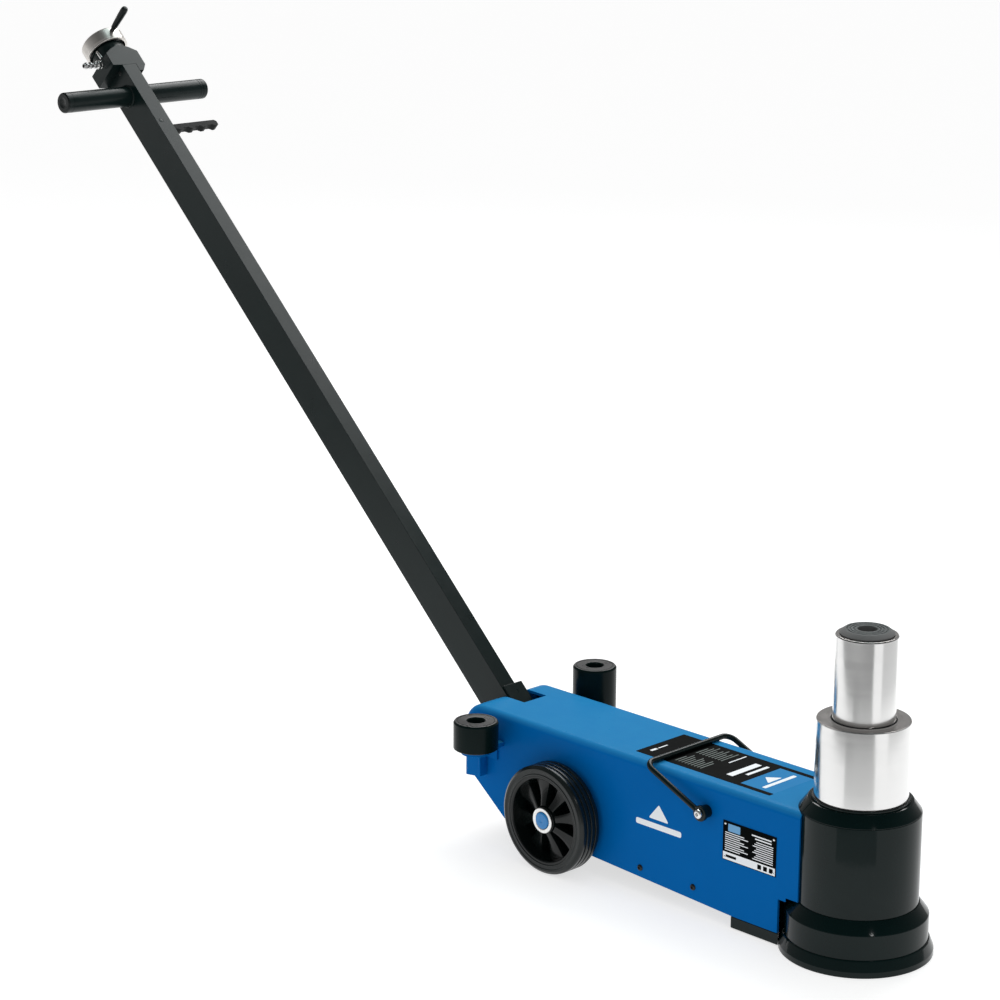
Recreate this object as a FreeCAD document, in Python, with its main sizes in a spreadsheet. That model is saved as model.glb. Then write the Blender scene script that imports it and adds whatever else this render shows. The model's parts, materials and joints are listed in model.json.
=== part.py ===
"""Two-stage air-hydraulic trolley jack, as a parametric FreeCAD document.

Frame: origin on the floor under the ram axis, +X forward (handle towards ram), +Z up, millimetres.
The near side in every name "right" is -Y and the far side "left" is +Y.
"""
import FreeCAD, Part
import Sketcher
import math
import os
import re

V = FreeCAD.Vector
doc = FreeCAD.newDocument("trolley_jack")
sheet = doc.addObject("Spreadsheet::Sheet", "sizes")

# ---------------------------------------------------------------- driving dimensions
SIZES = [
    # hydraulic unit
    ("cylinder_dia", 160, "outside of the pressure cylinder"),
    ("cylinder_bore", 135, "bore that the large piston runs in"),
    ("ring_dia", 188, "cast ring round the cylinder's foot"),
    ("ring_top", 71, "top of the cast ring"),
    ("ring_shoulder", 55, "where the ring's chamfer starts"),
    ("skirt_dia", 202.8, "flared foot on the floor"),
    ("skirt_rim", 8, "straight edge of the flared foot"),
    ("skirt_height", 22, "height of the flared foot"),
    ("floor_thick", 23.5, "cast floor under the cylinder"),
    ("nut_cone", 16, "height of the head nut's cone"),
    ("nut_lip", 2.7, "height of the lip round the ram"),
    ("nut_lip_dia", 130, "outside of that lip"),
    ("nut_neck_dia", 143.8, "threaded neck of the head nut"),
    ("nut_neck", 16, "depth of that neck"),
    ("big_ram_dia", 123, "outside of the first stage"),
    ("big_ram_bore", 100, "bore of the first stage"),
    ("big_ram_floor", 12, "floor of the first stage"),
    ("big_piston", 42, "length of the first piston head"),
    ("big_shown", 104, "how far the first stage stands out"),
    ("small_ram_dia", 82, "outside of the second stage"),
    ("small_ram_bore", 56, "hollow inside the second stage"),
    ("small_piston", 31, "length of the second piston head"),
    ("small_crown", 36, "solid crown of the second stage"),
    ("small_shown", 113, "how far the second stage stands out"),
    ("head_ring", 24.3, "length of the head ring in the first stage"),
    ("spare_stroke", 8, "stroke left above the shown height"),
    ("slide_gap", 0.05, "radial running clearance of rams and pistons"),
    ("stop_gap", 0.75, "gap left when a stage is fully down"),
    ("pad_dia", 67.6, "top of the saddle pad"),
    ("pad_foot_dia", 71.6, "foot of the saddle pad"),
    ("pad_thick", 6.3, "saddle pad above the ram"),
    ("spigot_dia", 24, "spigot under each height adapter"),
    ("spigot_play", 0.2, "radial play of a spigot in its socket"),
    ("pad_neck_dia", 36, "neck that centres the pad in the ram"),
    ("pad_neck", 10, "length of that neck"),
    ("spring_wire", 5, "wire of the return spring"),
    ("spring_dia", 40, "mean diameter of the return spring"),
    # chassis
    ("cover_width", 143.8, "outside width of the folded cover"),
    ("sheet_thick", 4, "steel sheet of the cover"),
    ("deck_height", 194.1, "top of the cover above the floor"),
    ("cover_rear", 669, "rear of the cover behind the ram axis"),
    ("cover_front", 41, "front edge of the side plates"),
    ("notch_back", 74.5, "side plates cut back round the ring"),
    ("notch_top", 66, "top of that cut-back"),
    ("cover_clear", 18.3, "side plates above the floor at the front"),
    ("heel_back", "=cover_rear - 85", "where the lower edge starts to slant"),
    ("heel_height", 38, "height of the lower edge there"),
    ("step_back", "=cover_rear - 23.5", "rear end of the slant"),
    ("step_height", 86, "height of the lower edge there"),
    ("rear_round", 35, "rounding of the deck into the rear wall"),
    ("fold_round", 10, "outside bend of the side folds"),
    ("fit_gap", 0.3, "clearance between separate plates"),
    ("pan_front", 262, "front end of the belly pan"),
    ("pan_thick", 3, "belly pan sheet"),
    ("pan_flange", 24, "height of the belly pan's flanges"),
    ("skid_back", 155, "rear end of the skid block"),
    ("skid_lift", 1.5, "skid block above the floor"),
    ("slot_front", "=cover_rear - 66.5", "front end of the handle slot"),
    ("slot_near", 15, "handle slot, right edge from the centre"),
    ("slot_far", 30, "handle slot, left edge from the centre"),
    ("slot_low", 126, "bottom of the slot in the rear wall"),
    # pump, tank and air lines
    ("block_back", 160, "rear face of the pump block"),
    ("block_width", 100, "width of the pump block"),
    ("block_top", 122, "top of the pump block"),
    ("motor_height", 75, "axis of the air motor"),
    ("motor_dia", 76, "outside of the air motor"),
    ("motor_bore", 68, "bore of the air motor"),
    ("motor_length", 138, "length of the air motor"),
    ("piston_thick", 18, "head of the air piston"),
    ("piston_rod", 16, "rod of the air piston"),
    ("pump_stroke", 50, "stroke of the air piston"),
    ("tank_front", 312, "front wall of the oil tank"),
    ("tank_back", 440, "rear wall of the oil tank"),
    ("tank_near", 62, "right wall of the oil tank from the centre"),
    ("tank_far", 30, "left wall of the oil tank from the centre"),
    ("tank_low", 42, "bottom of the oil tank"),
    ("tank_top", 178, "top of the oil tank"),
    ("tank_wall", 3, "sheet of the oil tank"),
    ("plug_dia", 22, "oil filler plug"),
    ("pipe_dia", 10, "oil pipe from the tank to the pump"),
    ("hose_dia", 10, "air hose inside the cover"),
    # wheels
    ("wheel_back", 466.5, "axle behind the ram axis"),
    ("wheel_dia", 156, "outside of the tyre"),
    ("wheel_width", 37, "width of the tyre"),
    ("wheel_face", 115.2, "outer face of the wheel from the centre"),
    ("rim_dia", 126.8, "seat of the tyre on the rim"),
    ("rim_wall", 6, "thickness of the rim"),
    ("web_thick", 10, "thickness of a wheel's spokes"),
    ("spoke_width", 13, "width of a spoke"),
    ("hub_dia", 46, "hub of the wheel"),
    ("bush_dia", 31, "outside of the wheel bush"),
    ("axle_dia", 25, "axle"),
    ("run_gap", 0.06, "radial running clearance of wheels and pins"),
    ("clip_dia", 36.4, "spring washer on the axle's end"),
    # carrying bail
    ("bail_back", 200.6, "bail pivot behind the ram axis"),
    ("bail_height", 154.3, "bail pivot above the floor"),
    ("bail_side", 84.9, "centre of the bail's eye from the centre"),
    ("bail_arm", 110, "pivot to cross bar"),
    ("bail_rod_dia", 8, "rod of the bail"),
    ("bail_bend", 15, "bend radius of the bail"),
    ("eye_dia", 22, "eye at each end of the bail"),
    ("eye_thick", 6, "thickness of the eye"),
    ("eye_bolt_dia", 8, "bolt through the eye"),
    # height adapters
    ("adapter_back", "=cover_rear - 76", "adapters behind the ram axis"),
    ("adapter_side", 120.2, "adapters from the centre"),
    ("adapter_dia", 64, "outside of an adapter"),
    ("short_adapter", 41.2, "height of the short adapter"),
    ("tall_adapter", 69, "height of the tall adapter"),
    ("spigot_length", 7.5, "length of an adapter's spigot"),
    ("socket_depth", 24, "depth of an adapter's socket"),
    ("shelf_top", 153.2, "top of the adapter shelves"),
    ("shelf_thick", 7, "thickness of the shelves"),
    ("shelf_dia", 42, "round end of the shelves"),
    # handle
    ("pivot_back", "=cover_rear - 35", "handle pivot behind the ram axis"),
    ("pivot_height", 150.5, "handle pivot above the floor"),
    ("handle_lean", 43.8, "elevation of the handle at rest, degrees"),
    ("tube_deep", 55.8, "deep side of the handle tube"),
    ("tube_wide", 26.8, "narrow side of the handle tube"),
    ("tube_wall", 3, "wall of the handle tube"),
    ("tube_tail", 32, "tube below the pivot"),
    ("tube_length", 1236, "tube above the pivot"),
    ("pin_dia", 24, "handle pivot pin"),
    ("cheek_thick", 11.8, "cheek on the left of the tube"),
    ("cheek_top", 50, "top of the cheek above the pivot"),
    ("face_plate", 2.5, "plate across the front of the tube"),
    ("bar_height", 1194.7, "grip bar above the pivot"),
    ("bar_dia", 32, "grip bar"),
    ("bar_length", 269, "length of the grip bar"),
    ("bar_wall", 3, "wall of the grip bar"),
    ("head_width", 60, "valve housing across"),
    ("head_height", 39, "valve housing above the tube"),
    ("post_dia", 40, "post that the control ring turns on"),
    ("neck_dia", 55, "neck under the control ring"),
    ("neck_height", 10, "height of that neck"),
    ("knob_dia", 70, "control ring"),
    ("knob_height", 24, "height of the control ring"),
    ("knob_cap", 4, "closed end of the control ring"),
    ("stalk_dia", 7, "stalk of the control lever"),
    ("stalk_reach", 88, "tip of the control lever from the axis"),
    ("nipple_dia", 8.4, "air inlet nipple"),
    ("nipple_reach", 33, "nipple beyond the housing"),
    ("nipple_up", 24, "nipple above the tube's end"),
    ("air_pipe_dia", 7, "air line inside the handle"),
    ("lever_drop", 73.7, "grip lever below the grip bar"),
    ("lever_reach", 120, "tip of the grip lever from the centre"),
    ("lever_thick", 11.5, "grip lever along the handle"),
    ("lever_deep", 12, "grip lever front to back"),
    ("lever_pin_dia", 8, "pin of the grip lever"),
    ("lever_offset", 4, "lever pin beside the centre"),
    ("lever_travel", 4, "room for the lever to move the lock"),
    ("lock_rod_dia", 6, "lock rod"),
    ("lock_set", 19, "lock rod behind the tube's centre"),
    ("lock_side", 5, "lock rod left of the tube's centre"),
    ("lock_tip", 42, "end of the lock bolt below the pivot"),
    ("sector_in", 50, "inner edge of the notched sector"),
    ("sector_out", 62, "outer edge of the notched sector"),
    ("sector_thick", 10, "notched sector"),
    ("notch_width", 14, "notch in the sector"),
    ("raise_angle", 46.2, "travel of the handle up to vertical, degrees"),
    ("lower_angle", 25, "travel of the handle down, degrees"),
    # plates and screws
    ("plate_left", 171, "rear edge of the rating plate"),
    ("plate_long", 92, "length of the rating plate"),
    ("plate_low", 95.5, "lower edge of the rating plate"),
    ("plate_tall", 55, "height of the rating plate"),
    ("plate_thick", 0.8, "rating plate"),
    ("rivet_dia", 3.6, "rivets of the rating plate"),
    ("screw_dia", 9, "head of a cover screw"),
    ("screw_first", 222.4, "front screws behind the ram axis"),
    ("screw_second", 319.3, "rear screws behind the ram axis"),
    ("screw_height", 39.3, "cover screws above the floor"),
]
NAMES = {name for name, _, _ in SIZES}
for row, (name, value, note) in enumerate(SIZES, start=1):
    sheet.set("A%d" % row, note)
    sheet.set("B%d" % row, str(value))
    sheet.setAlias("B%d" % row, name)
doc.recompute()

# ---------------------------------------------------------------- derived formulas
CYL_R = "cylinder_dia / 2"
HALF = "cover_width / 2"
INSIDE = "(cover_width / 2 - sheet_thick)"
CYL_TOP = "(deck_height + 0.2)"
NUT_TOP = "(deck_height + 0.2 + nut_cone + nut_lip)"
BIG_LOW = "(floor_thick + 0.5 + big_shown)"
BIG_TOP = "(%s + fit_gap + big_shown)" % NUT_TOP
SMALL_LOW = "(%s + big_ram_floor + 1 + small_shown)" % BIG_LOW
SMALL_TOP = "(%s + stop_gap + small_shown)" % BIG_TOP
PAD_TOP = "(%s + fit_gap + pad_thick)" % SMALL_TOP
SOCKET_R = "(spigot_dia / 2 + spigot_play)"
AXLE_Z = "(wheel_dia / 2)"
WHEEL_IN = "(wheel_face - wheel_width)"
BAR_Z = "(deck_height + bail_rod_dia / 2 + fit_gap)"
HEAD_TOP = "(tube_length + head_height)"
KNOB_LOW = "(tube_length + head_height + neck_height + fit_gap)"
KNOB_TOP = "(%s + knob_height)" % KNOB_LOW
LEVER_Z = "(bar_height - lever_drop)"
LEVER_TOP = "(bar_height - lever_drop + lever_thick / 2)"
MOTOR_BACK = "(block_back + motor_length)"
WORD = re.compile(r"[a-z_]+")


# ---------------------------------------------------------------- helpers
def formula(text):
    """Point each size named in a formula at its spreadsheet cell."""
    return WORD.sub(lambda m: "sizes." + m.group(0) if m.group(0) in NAMES else m.group(0), text)


def size(name):
    """Read one driving dimension as a number."""
    return float(sheet.get(name))


def bind(obj, prop, text):
    """Bind one property of an object to a formula of the sizes."""
    obj.setExpression(prop, formula(text))


def put(obj, x="0", y="0", z="0", axis=None, angle="0"):
    """Bind an object's place and, where an axis is given, its turn about that axis."""
    if axis is not None:
        obj.Placement = FreeCAD.Placement(V(0, 0, 0), FreeCAD.Rotation(V(*axis), 30))
        bind(obj, "Placement.Rotation.Angle", angle)
    for prop, text in (("x", x), ("y", y), ("z", z)):
        bind(obj, "Placement.Base." + prop, text)
    return obj


def on_handle(obj):
    """Set up a piece drawn upright about the pivot: local X is the handle's front, local Z its length."""
    return put(obj, "-pivot_back", "0", "pivot_height", (0, 1, 0), "handle_lean - 90")


def block(name, x, y, z):
    """A box from (low, high) formulas along each axis."""
    made = doc.addObject("Part::Box", name)
    for prop, (low, high) in (("Length", x), ("Width", y), ("Height", z)):
        bind(made, prop, "(%s) - (%s)" % (high, low))
    return put(made, x[0], y[0], z[0])


def round_bar(name, radius, low, high, axis="z", at=("0", "0")):
    """A cylinder along one axis, from low to high, at the two other coordinates."""
    made = doc.addObject("Part::Cylinder", name)
    bind(made, "Radius", radius)
    bind(made, "Height", "(%s) - (%s)" % (high, low))
    if axis == "x":
        return put(made, low, at[0], at[1], (0, 1, 0), "90")
    if axis == "y":
        return put(made, at[0], low, at[1], (1, 0, 0), "-90")
    return put(made, at[0], at[1], low)


def taper(name, foot, tip, low, high, axis="z", at=("0", "0")):
    """A cone along one axis, from radius foot at low to radius tip at high."""
    made = doc.addObject("Part::Cone", name)
    bind(made, "Radius1", foot)
    bind(made, "Radius2", tip)
    bind(made, "Height", "(%s) - (%s)" % (high, low))
    if axis == "x":
        return put(made, low, at[0], at[1], (0, 1, 0), "90")
    if axis == "y":
        return put(made, at[0], low, at[1], (1, 0, 0), "-90")
    return put(made, at[0], at[1], low)


def group(name, *parts):
    """Separate solids that share one node."""
    made = doc.addObject("Part::Compound", name)
    made.Links = list(parts)
    return made


def join(name, *parts):
    """One solid from several that touch."""
    made = doc.addObject("Part::MultiFuse", name)
    made.Shapes = list(parts)
    made.Refine = True
    return made


def cut(name, base, *tools):
    """Take the tools out of the base."""
    made = doc.addObject("Part::Cut", name)
    made.Base = base
    made.Tool = tools[0] if len(tools) == 1 else join(name + "_tools", *tools)
    return made


def outline(body, name, plane, points):
    """A closed sketch on one of the body's origin planes, each corner bound to a pair of formulas."""
    sketch = body.newObject("Sketcher::SketchObject", name)
    sketch.AttachmentSupport = [(next(f for f in body.Origin.OriginFeatures if f.Role == plane), "")]
    sketch.MapMode = "FlatFace"
    count = len(points)
    rough = [V(9 * math.cos(2 * math.pi * k / count), 9 * math.sin(2 * math.pi * k / count), 0)
             for k in range(count)]
    for k in range(count):
        sketch.addGeometry(Part.LineSegment(rough[k], rough[(k + 1) % count]), False)
    for k in range(count):
        sketch.addConstraint(Sketcher.Constraint("Coincident", k, 2, (k + 1) % count, 1))
    for k, (across, up) in enumerate(points):
        spot = sketch.addConstraint(Sketcher.Constraint("DistanceX", -1, 1, k, 1, rough[k].x))
        bind(sketch, "Constraints[%d]" % spot, across)
        spot = sketch.addConstraint(Sketcher.Constraint("DistanceY", -1, 1, k, 1, rough[k].y))
        bind(sketch, "Constraints[%d]" % spot, up)
    return sketch


def turned(name, points):
    """A body of revolution about Z from (radius, height) corners."""
    body = doc.addObject("PartDesign::Body", name)
    sketch = outline(body, name + "_profile", "XZ_Plane", points)
    spin = body.newObject("PartDesign::Revolution", name + "_turn")
    spin.Profile = sketch
    spin.ReferenceAxis = (sketch, ["V_Axis"])
    spin.Angle = 360
    body.Tip = spin
    return body


def plate(name, plane, points, thick):
    """A body padded both ways from one of its origin planes."""
    body = doc.addObject("PartDesign::Body", name)
    sketch = outline(body, name + "_profile", plane, points)
    pad = body.newObject("PartDesign::Pad", name + "_pad")
    pad.Profile = sketch
    bind(pad, "Length", thick)
    pad.Midplane = True
    body.Tip = pad
    return body


def rounded(body, name, radius, wanted):
    """Round the edges of a body's last feature that pass a test of their bounding box."""
    doc.recompute()
    base = body.Tip
    edges = ["Edge%d" % (k + 1) for k, edge in enumerate(base.Shape.Edges) if wanted(edge.BoundBox)]
    fillet = body.newObject("PartDesign::Fillet", name)
    fillet.Base = (base, edges)
    bind(fillet, "Radius", radius)
    body.Tip = fillet
    return body


def along(points, radii):
    """A path of straight runs joined by tangent arcs."""
    edges = []
    here = points[0]
    for k, radius in enumerate(radii, start=1):
        before = (points[k - 1] - points[k]).normalize()
        after = (points[k + 1] - points[k]).normalize()
        half = before.getAngle(after) / 2
        back = radius / math.tan(half)
        first = points[k] + before * back
        last = points[k] + after * back
        middle = (before + after).normalize()
        crest = points[k] + middle * (radius / math.sin(half) - radius)
        edges.append(Part.LineSegment(here, first).toShape())
        edges.append(Part.Arc(first, crest, last).toShape())
        here = last
    edges.append(Part.LineSegment(here, points[-1]).toShape())
    return Part.Wire(edges)


def tube(path, radius):
    """A round solid swept along a path."""
    start = path.Vertexes[0].Point
    heading = path.Edges[0].tangentAt(path.Edges[0].FirstParameter)
    ring = Part.Wire([Part.Circle(start, heading, radius).toShape()])
    return path.makePipeShell([ring], True, False)


def shaped(name, shape):
    """A sub-part whose shape this script works out."""
    made = doc.addObject("Part::Feature", name)
    made.Shape = shape
    return made


# ---------------------------------------------------------------- hydraulic unit
def base_casting():
    """Floor, ring and flared foot in one casting; the cylinder stands in it."""
    ring = "ring_dia / 2"
    seat = "%s + slide_gap" % CYL_R
    return turned("base_casting", [
        ("0", "0"), ("skirt_dia / 2", "0"), ("skirt_dia / 2", "skirt_rim"),
        (ring + " + 1.5", "skirt_height"), (ring, "skirt_height"), (ring, "ring_shoulder"),
        ("%s + 1.2" % CYL_R, "ring_top"), (seat, "ring_top"), (seat, "floor_thick"), ("0", "floor_thick"),
    ])


def skid_block():
    """Black block under the front of the cover, cut to the ring."""
    body = block("skid_blank", ("-skid_back", "-ring_dia / 4"), ("-(%s)" % HALF, HALF),
                 ("skid_lift", "cover_clear - fit_gap"))
    bore = round_bar("skid_bore", "skirt_dia / 2 + fit_gap", "-1", "ring_top")
    return cut("skid_block", body, bore)


def cylinder_tube():
    """Pressure cylinder with a counterbore for the head nut."""
    neck = "nut_neck_dia / 2 + slide_gap"
    low = "%s - nut_neck - fit_gap" % CYL_TOP
    return turned("cylinder_tube", [
        ("cylinder_bore / 2", "floor_thick + 0.1"), (CYL_R, "floor_thick + 0.1"), (CYL_R, CYL_TOP),
        (neck, CYL_TOP), (neck, low), ("cylinder_bore / 2", low),
    ])


def head_nut():
    """Conical nut that closes the cylinder round the first ram, with a seat for the wiper."""
    bore = "big_ram_dia / 2 + slide_gap"
    seat = "big_ram_dia / 2 + 2.2"
    top = NUT_TOP
    return turned("head_nut", [
        (bore, "%s - nut_neck" % CYL_TOP), ("nut_neck_dia / 2", "%s - nut_neck" % CYL_TOP),
        ("nut_neck_dia / 2", "%s + 0.1" % CYL_TOP), ("%s - 0.1" % CYL_R, "%s + 0.1" % CYL_TOP),
        ("nut_lip_dia / 2 + 1.2", "%s - nut_lip" % top), ("nut_lip_dia / 2", "%s - nut_lip" % top),
        ("nut_lip_dia / 2", top + " - 0.4"), ("nut_lip_dia / 2 - 0.4", top), (seat, top),
        (seat, "%s - 6" % top), (bore, "%s - 6" % top),
    ])


def ram_wiper():
    """Rubber wiper between the head nut and the first ram."""
    return turned("ram_wiper", [
        ("big_ram_dia / 2 + slide_gap", "%s - 5.9" % NUT_TOP),
        ("big_ram_dia / 2 + 2.1", "%s - 5.9" % NUT_TOP),
        ("big_ram_dia / 2 + 2.1", "%s - 0.4" % NUT_TOP),
        ("big_ram_dia / 2 + slide_gap", "%s - 0.2" % NUT_TOP),
    ])


def big_ram():
    """First stage: a chromed tube with a floor and a piston head."""
    outer = "big_ram_dia / 2"
    bore = "big_ram_bore / 2"
    head = "cylinder_bore / 2 - slide_gap"
    groove = "cylinder_bore / 2 - 6"
    return turned("big_ram", [
        ("0", BIG_LOW), (head, BIG_LOW), (head, "%s + 12" % BIG_LOW), (groove, "%s + 12" % BIG_LOW),
        (groove, "%s + 22" % BIG_LOW), (head, "%s + 22" % BIG_LOW), (head, "%s + big_piston" % BIG_LOW),
        (outer, "%s + big_piston" % BIG_LOW), (outer, "%s - 1" % BIG_TOP), (outer + " - 1", BIG_TOP),
        (bore, BIG_TOP), (bore, "%s + big_ram_floor" % BIG_LOW), ("0", "%s + big_ram_floor" % BIG_LOW),
    ])


def piston_seal():
    """Seal in the groove of the first piston head."""
    return turned("piston_seal", [
        ("cylinder_bore / 2 - 5.9", "%s + 12.1" % BIG_LOW),
        ("cylinder_bore / 2 - slide_gap", "%s + 12.1" % BIG_LOW),
        ("cylinder_bore / 2 - slide_gap", "%s + 21.9" % BIG_LOW),
        ("cylinder_bore / 2 - 5.9", "%s + 21.9" % BIG_LOW),
    ])


def head_ring():
    """Dark head ring in the mouth of the first stage, round the second ram."""
    return turned("head_ring", [
        ("small_ram_dia / 2 + slide_gap", "%s - head_ring" % BIG_TOP),
        ("big_ram_bore / 2 - slide_gap", "%s - head_ring" % BIG_TOP),
        ("big_ram_bore / 2 - slide_gap", "%s - 0.3" % BIG_TOP),
        ("small_ram_dia / 2 + 3", "%s - 0.3" % BIG_TOP),
        ("small_ram_dia / 2 + slide_gap", "%s - 2" % BIG_TOP),
    ])


def small_ram():
    """Second stage: hollow ram with a piston head and a stepped hole in its crown."""
    outer = "small_ram_dia / 2"
    head = "big_ram_bore / 2 - slide_gap"
    neck = "pad_neck_dia / 2 + slide_gap"
    hole = "%s + 0.3" % SOCKET_R
    seat = "%s - pad_neck - 0.5" % SMALL_TOP
    return turned("small_ram", [
        ("small_ram_bore / 2", SMALL_LOW), (head, SMALL_LOW), (head, "%s + small_piston" % SMALL_LOW),
        (outer, "%s + small_piston" % SMALL_LOW), (outer, "%s - 1.5" % SMALL_TOP),
        (outer + " - 1.5", SMALL_TOP), (neck, SMALL_TOP), (neck, seat), (hole, seat),
        (hole, "%s - small_crown + 10" % SMALL_TOP), ("0", "%s - small_crown + 10" % SMALL_TOP),
        ("0", "%s - small_crown" % SMALL_TOP), ("small_ram_bore / 2", "%s - small_crown" % SMALL_TOP),
    ])


def saddle_pad():
    """Grooved pad with a socket for the height adapters."""
    low = "%s + fit_gap" % SMALL_TOP
    points = [
        (SOCKET_R, "%s - pad_neck" % SMALL_TOP), ("pad_neck_dia / 2", "%s - pad_neck" % SMALL_TOP),
        ("pad_neck_dia / 2", low), ("pad_foot_dia / 2", low), ("pad_foot_dia / 2", "%s + 1.5" % low),
        ("pad_dia / 2", PAD_TOP),
    ]
    for k in range(3):
        edge = "pad_dia / 2 - %g" % (4 + 5.4 * k)
        points += [(edge, PAD_TOP), (edge + " - 0.5", "%s - 1.2" % PAD_TOP),
                   (edge + " - 1.5", "%s - 1.2" % PAD_TOP), (edge + " - 2", PAD_TOP)]
    points += [("%s + 0.8" % SOCKET_R, PAD_TOP), (SOCKET_R, "%s - 0.8" % PAD_TOP)]
    return turned("saddle_pad", points)


def return_spring():
    """Tension spring from the first stage's floor to the second stage's crown."""
    low = size("floor_thick") + 0.5 + size("big_shown") + size("big_ram_floor")
    nut_top = size("deck_height") + 0.2 + size("nut_cone") + size("nut_lip")
    small_top = nut_top + size("fit_gap") + size("big_shown") + size("stop_gap") + size("small_shown")
    wire = size("spring_wire") / 2
    mean = size("spring_dia") / 2
    length = small_top - size("small_crown") - low - 2 * wire - 2
    turns = 11
    path = Part.makeHelix(length / turns, length, mean)
    ring = Part.Wire([Part.Circle(V(mean, 0, 0), V(0, 1, 0), wire).toShape()])
    coil = Part.Wire(path.Edges).makePipeShell([ring], True, True)
    coil.translate(V(0, 0, low + wire + 1))
    return shaped("return_spring", coil)


# ---------------------------------------------------------------- chassis
def chassis_cover():
    """Folded deck, side plates and rear wall of one sheet, open below and at the front."""
    outer = plate("cover_outer", "XZ_Plane", [
        ("-cover_front", "deck_height"), ("-cover_front", "notch_top"), ("-notch_back", "notch_top"),
        ("-notch_back", "cover_clear"), ("-skid_back", "cover_clear"), ("-heel_back", "heel_height"),
        ("-step_back", "step_height"), ("-cover_rear", "step_height - 3"), ("-cover_rear", "deck_height"),
    ], "cover_width")
    rear = -size("cover_rear")
    top = size("deck_height")
    side = size("cover_width") / 2
    rounded(outer, "cover_rear_round", "rear_round",
            lambda b: b.XLength < 0.1 and b.ZLength < 0.1 and abs(b.XMin - rear) < 0.1 and b.ZMax > top - 1)
    rounded(outer, "cover_fold_round", "fold_round",
            lambda b: b.YLength < 0.1 and (b.ZMax > top - 0.1 or abs(b.XMin - rear) < 0.1)
            and b.ZMin > size("step_height") + 2 and b.XMax < -size("cover_front") + 0.1
            and (b.XLength > 1 or abs(b.XMin - rear) < 0.1))
    inner = plate("cover_inner", "XZ_Plane", [
        ("50", "deck_height - sheet_thick"), ("50", "-20"), ("-cover_rear + sheet_thick", "-20"),
        ("-cover_rear + sheet_thick", "deck_height - sheet_thick"),
    ], "cover_width - 2 * sheet_thick")
    hollow = -size("cover_rear") + size("sheet_thick")
    under = size("deck_height") - size("sheet_thick")
    rounded(inner, "hollow_rear_round", "rear_round - sheet_thick",
            lambda b: b.XLength < 0.1 and b.ZLength < 0.1 and abs(b.XMin - hollow) < 0.1 and b.ZMax > under - 1)
    rounded(inner, "hollow_fold_round", "fold_round - sheet_thick",
            lambda b: b.YLength < 0.1 and (b.ZMin > under - 0.1 or b.XMax < hollow + size("rear_round")))
    slot = block("cover_slot", ("-cover_rear - 5", "-slot_front"), ("-slot_near", "slot_far"),
                 ("slot_low", "deck_height + 5"))
    ram = round_bar("cover_ram_cut", "%s + fit_gap" % CYL_R, "-1", "deck_height + 5")
    ring = round_bar("cover_ring_cut", "ring_dia / 2 + fit_gap", "-1", "ring_top + fit_gap")
    axle = round_bar("cover_axle_hole", "axle_dia / 2 + 3", "-cover_width", "cover_width", "y",
                     ("-wheel_back", AXLE_Z))
    screws = [round_bar("cover_screw_hole_%d" % k, "2.6", "-cover_width", "cover_width", "y",
                        ("-" + place, "screw_height"))
              for k, place in enumerate(("screw_first", "screw_second"))]
    return cut("chassis_cover", outer, inner, slot, ram, ring, axle, *screws)


def belly_pan():
    """Sheet pan that closes the cover from below, with flanges screwed to the side plates."""
    slope = "((heel_height - cover_clear) / (heel_back - skid_back))"
    front = "(cover_clear + (pan_front - skid_back) * %s)" % slope
    outer = plate("pan_outer", "XZ_Plane", [
        ("-pan_front", front), ("-heel_back", "heel_height"), ("-heel_back - 30", "heel_height + 23.4"),
        ("-heel_back - 30", "heel_height + 26.4"), ("-heel_back", "heel_height + pan_flange"),
        ("-pan_front", "%s + pan_flange" % front),
    ], "2 * %s - 2 * fit_gap" % INSIDE)
    inner = plate("pan_inner", "XZ_Plane", [
        ("-pan_front + 5", "%s + pan_thick" % front), ("-heel_back + 2", "heel_height + pan_thick"),
        ("-heel_back - 35", "heel_height + 31"), ("-heel_back - 35", "heel_height + 60"),
        ("-pan_front + 5", "heel_height + 60"),
    ], "2 * %s - 2 * fit_gap - 2 * pan_thick" % INSIDE)
    holes = [round_bar("pan_hole_%d" % k, "2.6", "-cover_width", "cover_width", "y",
                       ("-" + place, "screw_height"))
             for k, place in enumerate(("screw_second",))]
    return cut("belly_pan", outer, inner, *holes)


def cover_screws():
    """Button-head screws through the lower edges of the side plates."""
    made = []
    for place in ("screw_first", "screw_second"):
        for side, sign in (("right", "-"), ("left", "")):
            name = "%s_%s" % (place, side)
            face = "cover_width / 2 + 0.05"
            low, high = (face, face + " + 2.6") if sign == "" else ("-(%s) - 2.6" % face, "-(%s)" % face)
            head = round_bar(name + "_head", "screw_dia / 2", low, high, "y", ("-" + place, "screw_height"))
            reach = "%s - pan_thick - 2" % INSIDE
            near, far = (reach, face) if sign == "" else ("-(%s)" % face, "-(%s)" % reach)
            shank = round_bar(name + "_shank", "2.5", near, far, "y", ("-" + place, "screw_height"))
            made.append(join(name, head, shank))
    return group("cover_screws", *made)


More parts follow.
